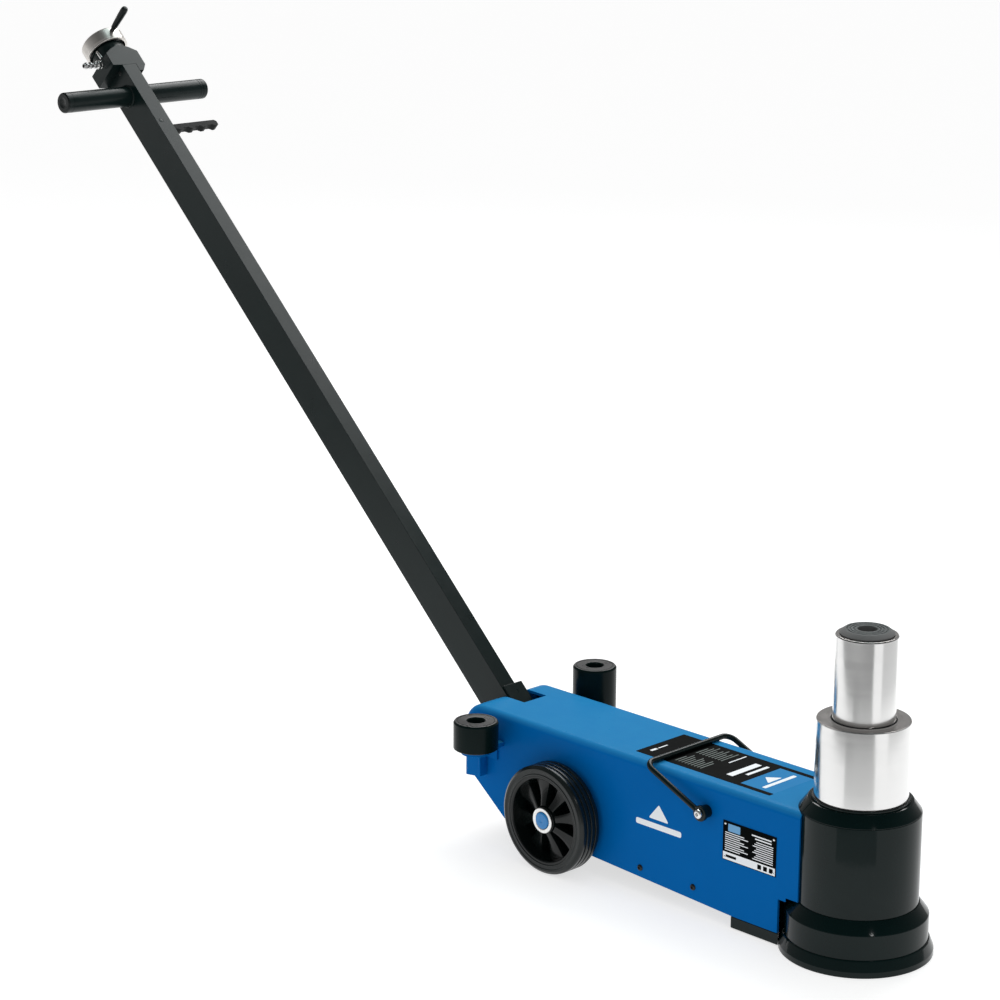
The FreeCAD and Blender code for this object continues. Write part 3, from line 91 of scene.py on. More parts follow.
def open_group(effect: Effect, inputs: dict[str, float], outputs: Sequence[str]) -> tuple:
    """Start a node group with a vector input, named value inputs and value outputs.

    Args:
        effect: The effect that the group makes.
        inputs: Names and default values of the value inputs.
        outputs: Names of the value outputs.

    Returns:
        The tree, its input node and its output node.
    """
    tree = bpy.data.node_groups.new(effect.value, "ShaderNodeTree")
    tree.interface.new_socket("Vector", in_out="INPUT", socket_type="NodeSocketVector")
    for name, value in inputs.items():
        made = tree.interface.new_socket(name, in_out="INPUT", socket_type="NodeSocketFloat")
        made.default_value = value
    for name in outputs:
        tree.interface.new_socket(name, in_out="OUTPUT", socket_type="NodeSocketFloat")
    return tree, tree.nodes.new("NodeGroupInput"), tree.nodes.new("NodeGroupOutput")


def math_node(tree: bpy.types.NodeTree, operation: str, *values: object) -> bpy.types.NodeSocket:
    """Add a Math node whose inputs are sockets or plain numbers.

    Args:
        tree: The tree that the node goes in.
        operation: Blender's name of the operation.
        values: A socket or a number for each input.

    Returns:
        The node's output socket.
    """
    node = tree.nodes.new("ShaderNodeMath")
    node.operation = operation
    for place, value in enumerate(values):
        if isinstance(value, (int, float)):
            node.inputs[place].default_value = value
        else:
            tree.links.new(value, node.inputs[place])
    return node.outputs[0]


def noise_node(tree: bpy.types.NodeTree, vector: object, scale: object,
               detail: float) -> bpy.types.NodeSocket:
    """Add a Noise Texture node.

    Args:
        tree: The tree that the node goes in.
        vector: The socket that gives the place.
        scale: A socket or a number.
        detail: Octaves of the noise.

    Returns:
        The noise value's socket.
    """
    node = tree.nodes.new("ShaderNodeTexNoise")
    node.inputs["Detail"].default_value = detail
    tree.links.new(vector, node.inputs["Vector"])
    if isinstance(scale, (int, float)):
        node.inputs["Scale"].default_value = scale
    else:
        tree.links.new(scale, node.inputs["Scale"])
    return node.outputs["Fac"]


def mottle_group() -> bpy.types.NodeTree:
    """Make the group that spreads a value between Low and High in soft clouds."""
    tree, start, end = open_group(Effect.MOTTLE, {"Scale": 20.0, "Low": 0.0, "High": 1.0}, ["Value"])
    cloud = noise_node(tree, start.outputs["Vector"], start.outputs["Scale"], 4.0)
    spread = tree.nodes.new("ShaderNodeMapRange")
    spread.inputs["From Min"].default_value = 0.2
    spread.inputs["From Max"].default_value = 0.8
    tree.links.new(cloud, spread.inputs["Value"])
    tree.links.new(start.outputs["Low"], spread.inputs["To Min"])
    tree.links.new(start.outputs["High"], spread.inputs["To Max"])
    tree.links.new(spread.outputs["Result"], end.inputs["Value"])
    return tree


def grain_group() -> bpy.types.NodeTree:
    """Make the group that gives the height of paint's orange peel or a casting's skin."""
    tree, start, end = open_group(Effect.GRAIN, {"Scale": 300.0, "Pits": 0.2}, ["Height"])
    peel = noise_node(tree, start.outputs["Vector"], start.outputs["Scale"], 2.0)
    finer = math_node(tree, "MULTIPLY", start.outputs["Scale"], 3.1)
    pits = noise_node(tree, start.outputs["Vector"], finer, 3.0)
    height = math_node(tree, "ADD", peel, math_node(tree, "MULTIPLY", pits, start.outputs["Pits"]))
    tree.links.new(height, end.inputs["Height"])
    return tree


def turning_group() -> bpy.types.NodeTree:
    """Make the group that gives fine turned lines, along Z or out from it."""
    tree, start, end = open_group(Effect.TURNING, {"Lines": 900.0, "Outward": 0.0}, ["Height", "Band"])
    split = tree.nodes.new("ShaderNodeSeparateXYZ")
    tree.links.new(start.outputs["Vector"], split.inputs[0])
    across = math_node(tree, "POWER", math_node(tree, "ADD", math_node(tree, "POWER", split.outputs[0], 2.0),
                                                math_node(tree, "POWER", split.outputs[1], 2.0)), 0.5)
    gap = math_node(tree, "SUBTRACT", across, split.outputs[2])
    place = math_node(tree, "ADD", split.outputs[2], math_node(tree, "MULTIPLY", gap,
                                                               start.outputs["Outward"]))
    for name, factor, detail in (("Height", 1.0, 2.0), ("Band", 0.06, 3.0)):
        line = tree.nodes.new("ShaderNodeTexNoise")
        line.noise_dimensions = "1D"
        line.inputs["Detail"].default_value = detail
        line.inputs["Scale"].default_value = 1.0
        tree.links.new(math_node(tree, "MULTIPLY", place, math_node(tree, "MULTIPLY", start.outputs["Lines"],
                                                                    factor)),
                       line.inputs["W"])
        tree.links.new(line.outputs["Fac"], end.inputs[name])
    return tree


def edge_highlight_group() -> bpy.types.NodeTree:
    """Make the group that masks the convex edges, broken up by noise, for a painted edge highlight."""
    tree, start, end = open_group(Effect.EDGE_HIGHLIGHT, {"Amount": 0.3}, ["Mask"])
    shape = tree.nodes.new("ShaderNodeNewGeometry")
    edge = tree.nodes.new("ShaderNodeMapRange")
    edge.inputs["From Min"].default_value = 0.53
    edge.inputs["From Max"].default_value = 0.66
    tree.links.new(shape.outputs["Pointiness"], edge.inputs["Value"])
    broken = noise_node(tree, start.outputs["Vector"], 55.0, 4.0)
    mask = math_node(tree, "MULTIPLY", math_node(tree, "MULTIPLY", edge.outputs["Result"], broken),
                     start.outputs["Amount"])
    tree.links.new(mask, end.inputs["Mask"])
    return tree


def painted_top_light_group() -> bpy.types.NodeTree:
    """Make the group that masks faces that look up, for a lighter film that is painted light from above."""
    tree, start, end = open_group(Effect.PAINTED_TOP_LIGHT, {"Amount": 0.05}, ["Mask"])
    shape = tree.nodes.new("ShaderNodeNewGeometry")
    split = tree.nodes.new("ShaderNodeSeparateXYZ")
    tree.links.new(shape.outputs["Normal"], split.inputs[0])
    up = tree.nodes.new("ShaderNodeMapRange")
    up.inputs["From Min"].default_value = 0.2
    tree.links.new(split.outputs[2], up.inputs["Value"])
    cloud = noise_node(tree, start.outputs["Vector"], 38.0, 6.0)
    even = math_node(tree, "ADD", math_node(tree, "MULTIPLY", cloud, 0.16), 0.42)
    mask = math_node(tree, "MULTIPLY", math_node(tree, "MULTIPLY", up.outputs["Result"], even),
                     start.outputs["Amount"])
    tree.links.new(mask, end.inputs["Mask"])
    return tree


MAKERS: dict[Effect, Callable[[], bpy.types.NodeTree]] = {
    Effect.MOTTLE: mottle_group, Effect.GRAIN: grain_group, Effect.TURNING: turning_group,
    Effect.EDGE_HIGHLIGHT: edge_highlight_group, Effect.PAINTED_TOP_LIGHT: painted_top_light_group,
}


# ------------------------------------------------------------------ finishes
@dataclass(frozen=True)
class Finish:
    """One surface finish, and the material that shows it."""

    name: str
    colour: Colour
    rough: tuple[float, float] = (0.3, 0.38)
    metallic: float = 0.0
    specular: float = 0.5
    coat: float = 0.0
    coat_rough: float = 0.08
    tint: float = 0.06
    patch: float = 18.0
    grain: float = 320.0
    grain_depth: float = 0.00002
    pits: float = 0.2
    lines: float = 0.0
    line_depth: float = 0.0
    outward: float = 0.0
    # Lighter convex edges and their colour: a painted edge highlight.
    edge_highlight: float = 0.0
    edge_highlight_colour: Colour = (0.25, 0.25, 0.25)
    # A lighter film of the film colour on faces that look up: painted light from above.
    painted_top_light: float = 0.0
    film: Colour = (0.5, 0.49, 0.46)
    anisotropy: float = 0.0
    axis: Matrix | None = field(default=None, compare=False)

    def material(self) -> bpy.types.Material:
        """Return the material, made once."""
        found = bpy.data.materials.get(self.name)
        return found if found is not None else self._make()

    def _make(self) -> bpy.types.Material:
        """Build the material's node tree."""
        made = bpy.data.materials.new(self.name)
        made.use_nodes = True
        made.diffuse_color = (*self.colour, 1.0)
        tree = made.node_tree
        shader = tree.nodes["Principled BSDF"]
        shader.inputs["Metallic"].default_value = self.metallic
        shader.inputs["Specular IOR Level"].default_value = self.specular
        shader.inputs["Coat Weight"].default_value = self.coat
        shader.inputs["Coat Roughness"].default_value = self.coat_rough
        shader.inputs["Anisotropic"].default_value = self.anisotropy
        place = tree.nodes.new("ShaderNodeTexCoord").outputs["Object"]
        if self.axis is not None:
            moved = tree.nodes.new("ShaderNodeMapping")
            inverse = self.axis.inverted()
            moved.inputs["Location"].default_value = inverse.to_translation()
            moved.inputs["Rotation"].default_value = inverse.to_euler()
            tree.links.new(place, moved.inputs["Vector"])
            place = moved.outputs["Vector"]
        shade = self._use(tree, Effect.MOTTLE, place, Scale=self.patch, Low=0.0, High=1.0)
        dark = tuple(c * (1.0 - self.tint) for c in self.colour)
        light = tuple(min(1.0, c * (1.0 + self.tint)) for c in self.colour)
        colour = self._blend(tree, shade.outputs["Value"], dark, light)
        # Convex edges are lightened towards a lighter colour: a painted edge highlight.
        if self.edge_highlight > 0.0:
            edge_lit = self._use(tree, Effect.EDGE_HIGHLIGHT, place, Amount=self.edge_highlight)
            colour = self._blend(tree, edge_lit.outputs["Mask"], colour, self.edge_highlight_colour)
        # Faces that look up are lightened towards the film colour: painted light from above.
        if self.painted_top_light > 0.0:
            film = self._use(tree, Effect.PAINTED_TOP_LIGHT, place, Amount=self.painted_top_light)
            colour = self._blend(tree, film.outputs["Mask"], colour, self.film)
        tree.links.new(colour, shader.inputs["Base Color"])
        gloss = self._use(tree, Effect.MOTTLE, place, Scale=self.patch * 2.3, Low=self.rough[0],
                          High=self.rough[1])
        rough = gloss.outputs["Value"]
        normal = None
        if self.grain_depth > 0.0:
            skin = self._use(tree, Effect.GRAIN, place, Scale=self.grain, Pits=self.pits)
            normal = self._bump(tree, skin.outputs["Height"], self.grain_depth, normal)
        if self.line_depth > 0.0:
            cut = self._use(tree, Effect.TURNING, place, Lines=self.lines, Outward=self.outward)
            normal = self._bump(tree, cut.outputs["Height"], self.line_depth, normal)
            swing = math_node(tree, "MULTIPLY", math_node(tree, "SUBTRACT", cut.outputs["Band"], 0.5), 0.12)
            rough = math_node(tree, "ADD", rough, swing)
        tree.links.new(rough, shader.inputs["Roughness"])
        if normal is not None:
            tree.links.new(normal, shader.inputs["Normal"])
        return made

    @staticmethod
    def _use(tree: bpy.types.NodeTree, effect: Effect, place: object, **values: float) -> bpy.types.Node:
        """Place a shared group in the material.

        Args:
            tree: The material's tree.
            effect: The effect to place.
            place: The socket that gives the place.
            values: The group's own values here.

        Returns:
            The group's node.
        """
        node = tree.nodes.new("ShaderNodeGroup")
        node.node_tree = bpy.data.node_groups.get(effect.value) or MAKERS[effect]()
        tree.links.new(place, node.inputs["Vector"])
        for name, value in values.items():
            node.inputs[name].default_value = value
        return node

    @staticmethod
    def _blend(tree: bpy.types.NodeTree, share: object, first: object,
               second: object) -> bpy.types.NodeSocket:
        """Mix two colours, each a socket or a plain colour, by a mask.

        Args:
            tree: The material's tree.
            share: The mask's socket.
            first: The colour where the mask is 0.
            second: The colour where the mask is 1.

        Returns:
            The mixed colour's socket.
        """
        node = tree.nodes.new("ShaderNodeMix")
        node.data_type = "RGBA"
        tree.links.new(share, node.inputs[0])
        for socket, value in ((node.inputs[6], first), (node.inputs[7], second)):
            if isinstance(value, tuple):
                socket.default_value = (*value, 1.0)
            else:
                tree.links.new(value, socket)
        return node.outputs[2]

    @staticmethod
    def _bump(tree: bpy.types.NodeTree, height: object, depth: float, under: object) -> bpy.types.NodeSocket:
        """Turn a height into a normal, over another normal if there is one.

        Args:
            tree: The material's tree.
            height: The height's socket.
            depth: Height of the relief in metres.
            under: The normal below, or None.

        Returns:
            The normal's socket.
        """
        node = tree.nodes.new("ShaderNodeBump")
        node.inputs["Distance"].default_value = depth
        node.inputs["Strength"].default_value = 1.0
        tree.links.new(height, node.inputs["Height"])
        if under is not None:
            tree.links.new(under, node.inputs["Normal"])
        return node.outputs["Normal"]


# The cyan film on this enamel's faces that look up is painted light from above.
BLUE_ENAMEL = Finish("blue_enamel", (0.0, 0.114, 0.385), (0.26, 0.34), specular=0.02, tint=0.02, grain=420.0,
                     grain_depth=0.000012, painted_top_light=0.62, film=(0.055, 0.40, 0.60))
BLACK_ENAMEL = Finish("black_enamel", (0.0020, 0.0080, 0.0078), (0.18, 0.26), specular=0.22, tint=0.15,
                      grain=380.0,
                      grain_depth=0.000016, edge_highlight=0.2, edge_highlight_colour=(0.05, 0.06, 0.06))
TUBE_ENAMEL = Finish("tube_enamel", (0.0030, 0.0092, 0.0090), (0.26, 0.34), specular=0.2, tint=0.12,
                     grain=520.0,
                     grain_depth=0.000014, edge_highlight=0.25, edge_highlight_colour=(0.06, 0.07, 0.07))
CAST_ENAMEL = Finish("cast_enamel", (0.0018, 0.0078, 0.0076), (0.07, 0.1), specular=0.2, tint=0.12,
                     grain=140.0,
                     grain_depth=0.00003, pits=0.3, edge_highlight=0.15, edge_highlight_colour=(0.05, 0.06, 0.06))
ADAPTER_BLACK = Finish("adapter_black", (0.0020, 0.0075, 0.0072), (0.2, 0.28), specular=0.09, tint=0.15,
                       grain=380.0,
                       grain_depth=0.000016, edge_highlight=0.3, edge_highlight_colour=(0.05, 0.06, 0.06))
HARD_CHROME = Finish("hard_chrome", (0.76, 0.755, 0.75), (0.15, 0.21), metallic=1.0, tint=0.02,
                     grain_depth=0.0,
                     lines=1400.0, line_depth=0.000003, anisotropy=0.2)
TURNED_STEEL = Finish("turned_steel", (0.67, 0.645, 0.625), (0.12, 0.2), metallic=1.0, tint=0.06,
                      grain_depth=0.0,
                      lines=1500.0, line_depth=0.000005, outward=1.0)
DARK_STEEL = Finish("blackened_steel", (0.03, 0.032, 0.032), (0.3, 0.42), metallic=0.7, tint=0.15,
                    grain_depth=0.00001, edge_highlight=0.3, edge_highlight_colour=(0.2, 0.2, 0.2))
ZINC = Finish("bright_zinc", (0.78, 0.78, 0.77), (0.16, 0.26), metallic=1.0, tint=0.06, grain_depth=0.00001)
SPRING_STEEL = Finish("spring_steel", (0.3, 0.3, 0.31), (0.3, 0.4), metallic=1.0, tint=0.1,
                      grain_depth=0.00001)
PAD_IRON = Finish("pad_iron", (0.003, 0.006, 0.006), (0.2, 0.32), specular=0.12, tint=0.12,
                  grain_depth=0.00001, edge_highlight=0.2, edge_highlight_colour=(0.08, 0.09, 0.09))
PAD_FACE = Finish("pad_face", (0.075, 0.085, 0.085), (0.28, 0.38), metallic=0.5, specular=0.22, tint=0.1,
                  grain_depth=0.0, lines=1300.0, line_depth=0.00001, outward=1.0, edge_highlight=0.6,
                  edge_highlight_colour=(0.3, 0.31, 0.31))
RUBBER = Finish("tyre_rubber", (0.0045, 0.0080, 0.0080), (0.18, 0.28), specular=0.35, tint=0.2, grain=240.0,
                grain_depth=0.00002, pits=0.4, edge_highlight=0.2, edge_highlight_colour=(0.03, 0.03, 0.03))
RIM_PLASTIC = Finish("rim_moulding", (0.0026, 0.0046, 0.0044), (0.14, 0.22), specular=0.32, tint=0.1,
                     grain=500.0,
                     grain_depth=0.000008)
CAP_PLASTIC = Finish("cap_blue", (0.0, 0.085, 0.30), (0.2, 0.3), specular=0.3, tint=0.05,
                     grain_depth=0.000006)
BLACK_PLASTIC = Finish("black_moulding", (0.0025, 0.0060, 0.0060), (0.26, 0.38), specular=0.28, tint=0.12,
                       grain=600.0, grain_depth=0.00001)
KNOB_ALLOY = Finish("knob_alloy", (0.93, 0.90, 0.915), (0.3, 0.38), metallic=0.6, tint=0.02,
                    grain_depth=0.000004,
                    anisotropy=0.3)
MOTOR_ALLOY = Finish("cast_alloy", (0.42, 0.42, 0.42), (0.4, 0.55), metallic=0.9, tint=0.1, grain=200.0,
                     grain_depth=0.00005, pits=0.6)
TANK_PAINT = Finish("tank_primer", (0.07, 0.075, 0.08), (0.45, 0.6), specular=0.3, tint=0.12,
                    grain_depth=0.00002)
BRASS = Finish("turned_brass", (0.62, 0.44, 0.17), (0.25, 0.38), metallic=1.0, tint=0.08, grain_depth=0.00001)
HOSE = Finish("hose_rubber", (0.012, 0.012, 0.012), (0.4, 0.55), specular=0.3, tint=0.15, grain_depth=0.00002)
LEVER_BLACK = Finish("lever_black", (0.0014, 0.0030, 0.0030), (0.4, 0.5), specular=0.1, tint=0.12,
                     grain=600.0, grain_depth=0.00001)
GRILLE_GREY = Finish("grille_grey", (0.028, 0.034, 0.034), (0.4, 0.5), specular=0.3, tint=0.1,
                     grain_depth=0.000008)
NIPPLE_STEEL = Finish("nipple_steel", (0.5, 0.5, 0.5), (0.28, 0.38), metallic=1.0, tint=0.06, grain_depth=0.0)
PRINT_BLACK = Finish("print_black", (0.0006, 0.0014, 0.0012), (0.4, 0.5), specular=0.02, tint=0.08,
                     grain=700.0,
                     grain_depth=0.000004)
PRINT_BLUE = Finish("print_blue", (0.012, 0.205, 0.475), (0.28, 0.36), specular=0.06, tint=0.03,
                    grain_depth=0.000004)
PRINT_WHITE = Finish("print_white", (0.86, 0.89, 0.92), (0.35, 0.45), specular=0.3, tint=0.02,
                     grain_depth=0.000004)
PRINT_GREY = Finish("print_grey", (0.16, 0.19, 0.18), (0.35, 0.45), specular=0.2, tint=0.05,
                    grain_depth=0.000004)
PRINT_SKY = Finish("print_sky", (0.14, 0.36, 0.62), (0.35, 0.45), specular=0.3, tint=0.02,
                   grain_depth=0.000004)


# ------------------------------------------------------------------ mesh stock
def rounded(points: Profile, radius: float | dict[int, float], steps: int = 4,
            closed: bool = True) -> Profile:
    """Round the corners of an outline.

    Args:
        points: The corners.
        radius: One radius for all corners, or a radius for each named corner.
        steps: Runs in each rounding.
        closed: Whether the last corner joins the first.

    Returns:
        The outline with its corners rounded.
    """
    made: Profile = []
    count = len(points)
    for k, corner in enumerate(points):
        wanted = radius.get(k, 0.0) if isinstance(radius, dict) else radius
        if wanted <= 0.0 or (not closed and k in (0, count - 1)):
            made.append(corner)
            continue
        here = Vector(corner)
        back = Vector(points[k - 1]) - here
        ahead = Vector(points[(k + 1) % count]) - here
        if back.length < 1e-9 or ahead.length < 1e-9:
            made.append(corner)
            continue
        half = back.angle(ahead) / 2
        if half > math.radians(88):
            made.append(corner)
            continue
        reach = min(wanted / math.tan(half), 0.48 * back.length, 0.48 * ahead.length)
        first = here + back.normalized() * reach
        last = here + ahead.normalized() * reach
        for step in range(steps + 1):
            share = step / steps
            place = first.lerp(here, share).lerp(here.lerp(last, share), share)
            made.append((place.x, place.y))
    return made


def upright(at: Sequence[float], heading: Sequence[float]) -> Matrix:
    """Give the matrix that stands local Z along a heading at a point."""
    return Matrix.Translation(Vector(at)) @ Vector(heading).to_track_quat("Z", "Y").to_matrix().to_4x4()


def arcs(points: Sequence[Vector], radii: Sequence[float], steps: int = 10) -> list[Vector]:
    """Walk straight runs joined by tangent arcs.

    Args:
        points: The route's corners.
        radii: Bend radius at each inner corner.
        steps: Runs in each bend.

    Returns:
        Points along the route.
    """
    made = [points[0]]
    for k, radius in enumerate(radii, start=1):
        back = (points[k - 1] - points[k]).normalized()
        ahead = (points[k + 1] - points[k]).normalized()
        half = back.angle(ahead) / 2
        centre = points[k] + (back + ahead).normalized() * (radius / math.sin(half))
        first = points[k] + back * (radius / math.tan(half)) - centre
        last = points[k] + ahead * (radius / math.tan(half)) - centre
        for step in range(steps + 1):
            made.append(centre + first.lerp(last, step / steps).normalized() * radius)
    made.append(points[-1])
    return made


class Stock:
    """Mesh under construction; closed shells are added one by one and become one piece."""

    nodes: dict[str, bpy.types.Object] = {}

    def __init__(self) -> None:
        """Start with nothing."""
        self.bm = bmesh.new()

    def shell(self, corners: Iterable[Sequence[float]], faces: Iterable[Sequence[int]], at: Matrix,
               slot: int) -> None:
        """Add vertices and faces, moved by a matrix."""
        verts = [self.bm.verts.new(at @ Vector(c)) for c in corners]
        for face in faces:
            made = self.bm.faces.new([verts[i] for i in face])
            made.material_index = slot

    def turn(self, profile: Profile, at: Matrix = IDENTITY, segments: int = 96, slot: int = 0) -> Stock:
        """Add a body of revolution about local Z from a closed (radius, height) outline.

        Args:
            profile: The outline; points at radius 0 become poles.
            at: Where it goes.
            segments: Facets round.
            slot: Material slot of its faces.

        Returns:
            The stock itself.
        """
        corners: list[tuple[float, float, float]] = []
        rings: list[list[int]] = []
        for radius, height in profile:
            if radius < 1e-7:
                rings.append([len(corners)] * segments)
                corners.append((0.0, 0.0, height))
                continue
            rings.append(list(range(len(corners), len(corners) + segments)))
            for k in range(segments):
                angle = 2 * math.pi * k / segments
                corners.append((radius * math.cos(angle), radius * math.sin(angle), height))
        faces = []
        for k, ring in enumerate(rings):
            other = rings[(k + 1) % len(rings)]
            for j in range(segments):
                nxt = (j + 1) % segments
                face = list(dict.fromkeys((ring[j], ring[nxt], other[nxt], other[j])))
                if len(face) > 2:
                    faces.append(face)
        self.shell(corners, faces, at, slot)
        return self

    def slab(self, outline: Profile, low: float, high: float, at: Matrix = IDENTITY, slot: int = 0) -> Stock:
        """Add a prism along local Z on an outline.

        Args:
            outline: The (x, y) corners in order.
            low: Bottom of the prism.
            high: Top of the prism.
            at: Where it goes.
            slot: Material slot of its faces.

        Returns:
            The stock itself.
        """
        count = len(outline)
        corners = [(x, y, low) for x, y in outline] + [(x, y, high) for x, y in outline]
        faces: list[list[int]] = [list(range(count))[::-1], list(range(count, 2 * count))]
        faces += [[k, (k + 1) % count, count + (k + 1) % count, count + k] for k in range(count)]
        self.shell(corners, faces, at, slot)
        return self

    def bar(self, path: Sequence[Vector], radius: float, sides: int = 20, at: Matrix = IDENTITY,
            slot: int = 0) -> Stock:
        """Add a round bar along a path, with flat ends.

        Args:
            path: Points along the bar.
            radius: Radius of the bar.
            sides: Facets round.
            at: Where it goes.
            slot: Material slot of its faces.

        Returns:
            The stock itself.
        """
        heading = (path[1] - path[0]).normalized()
        side = heading.orthogonal().normalized()
        corners: list[Vector] = []
        for k, here in enumerate(path):
            ahead = (path[min(k + 1, len(path) - 1)] - path[max(k - 1, 0)]).normalized()
            side = (side - ahead * side.dot(ahead)).normalized()
            up = ahead.cross(side)
            for j in range(sides):
                angle = 2 * math.pi * j / sides
                corners.append(here + side * (radius * math.cos(angle)) + up * (radius * math.sin(angle)))
        faces: list[list[int]] = []
        for k in range(len(path) - 1):
            for j in range(sides):
                nxt = (j + 1) % sides
                faces.append([k * sides + j, k * sides + nxt, (k + 1) * sides + nxt, (k + 1) * sides + j])
        faces.append(list(range(sides))[::-1])
        faces.append(list(range((len(path) - 1) * sides, len(path) * sides)))
        self.shell(corners, faces, at, slot)
        return self

    def trace(self, *names: str) -> Stock:
        """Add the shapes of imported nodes, cleaned of their triangulation.

        Args:
            names: The nodes to copy.

        Returns:
            The stock itself.
        """
        for name in names:
            self.bm.from_mesh(self.nodes[name].data)
        bmesh.ops.remove_doubles(self.bm, verts=self.bm.verts, dist=2e-6)
        bmesh.ops.dissolve_limit(self.bm, angle_limit=math.radians(1.0), verts=self.bm.verts,
                                 edges=self.bm.edges)
        return self

    def piece(self, name: str, body: str, finishes: Sequence[Finish], nodes: Sequence[str] = (),
              bevel: float = 0.0,
              steps: int = 2, corner: float = 38.0, slot: str = "", weigh: Callable | None = None,
              paint: Callable | None = None) -> bpy.types.Object:
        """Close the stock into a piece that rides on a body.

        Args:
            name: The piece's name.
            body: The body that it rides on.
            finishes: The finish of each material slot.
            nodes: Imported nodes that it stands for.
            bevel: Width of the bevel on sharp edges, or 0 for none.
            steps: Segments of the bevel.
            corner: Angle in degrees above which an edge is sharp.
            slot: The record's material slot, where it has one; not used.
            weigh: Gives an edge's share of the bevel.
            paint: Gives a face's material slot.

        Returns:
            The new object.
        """
        bm = self.bm
        bmesh.ops.recalc_face_normals(bm, faces=bm.faces)
        if bevel > 0.0:
            layer = bm.edges.layers.float.new("bevel_weight_edge")
            for edge in bm.edges:
                if edge.is_manifold and edge.calc_face_angle(0.0) > math.radians(corner):
                    edge[layer] = weigh(edge) if weigh else 1.0
        if paint:
            for face in bm.faces:
                face.material_index = paint(face)
        mesh = bpy.data.meshes.new(name)
        bm.to_mesh(mesh)
        bm.free()
        mesh.shade_smooth()
        mesh.set_sharp_from_angle(angle=math.radians(corner))
        made = bpy.data.objects.new(name, mesh)
        bpy.context.scene.collection.objects.link(made)
        for finish in finishes:
            mesh.materials.append(finish.material())
        if bevel > 0.0:
            soften = made.modifiers.new("soft_edges", "BEVEL")
            soften.width = bevel
            soften.segments = steps
            soften.limit_method = "WEIGHT"
            soften.harden_normals = True
        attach(made, body)
        if nodes:
            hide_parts(*nodes)
        LOG.info("%s on %s", name, body)
        return made


def dress(node: str, finish: Finish) -> None:
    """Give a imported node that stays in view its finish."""
    obj = Stock.nodes[node]
    obj.data.materials.clear()
    obj.data.materials.append(finish.material())
    LOG.info("%s dressed in %s", node, finish.name)


def bar_outline(x: float, y: float, width: float, height: float, radius: float = 0.0) -> Profile:
    """Give the outline of a rectangle with its low corner at (x, y), rounded if asked."""
    points = [(x, y), (x + width, y), (x + width, y + height), (x, y + height)]
    return rounded(points, radius, 3) if radius > 0.0 else points


def in_mm(points: Sequence[tuple[float, float]]) -> Profile:
    """Turn an outline in millimetres into metres."""
    return [(a * MM, b * MM) for a, b in points]


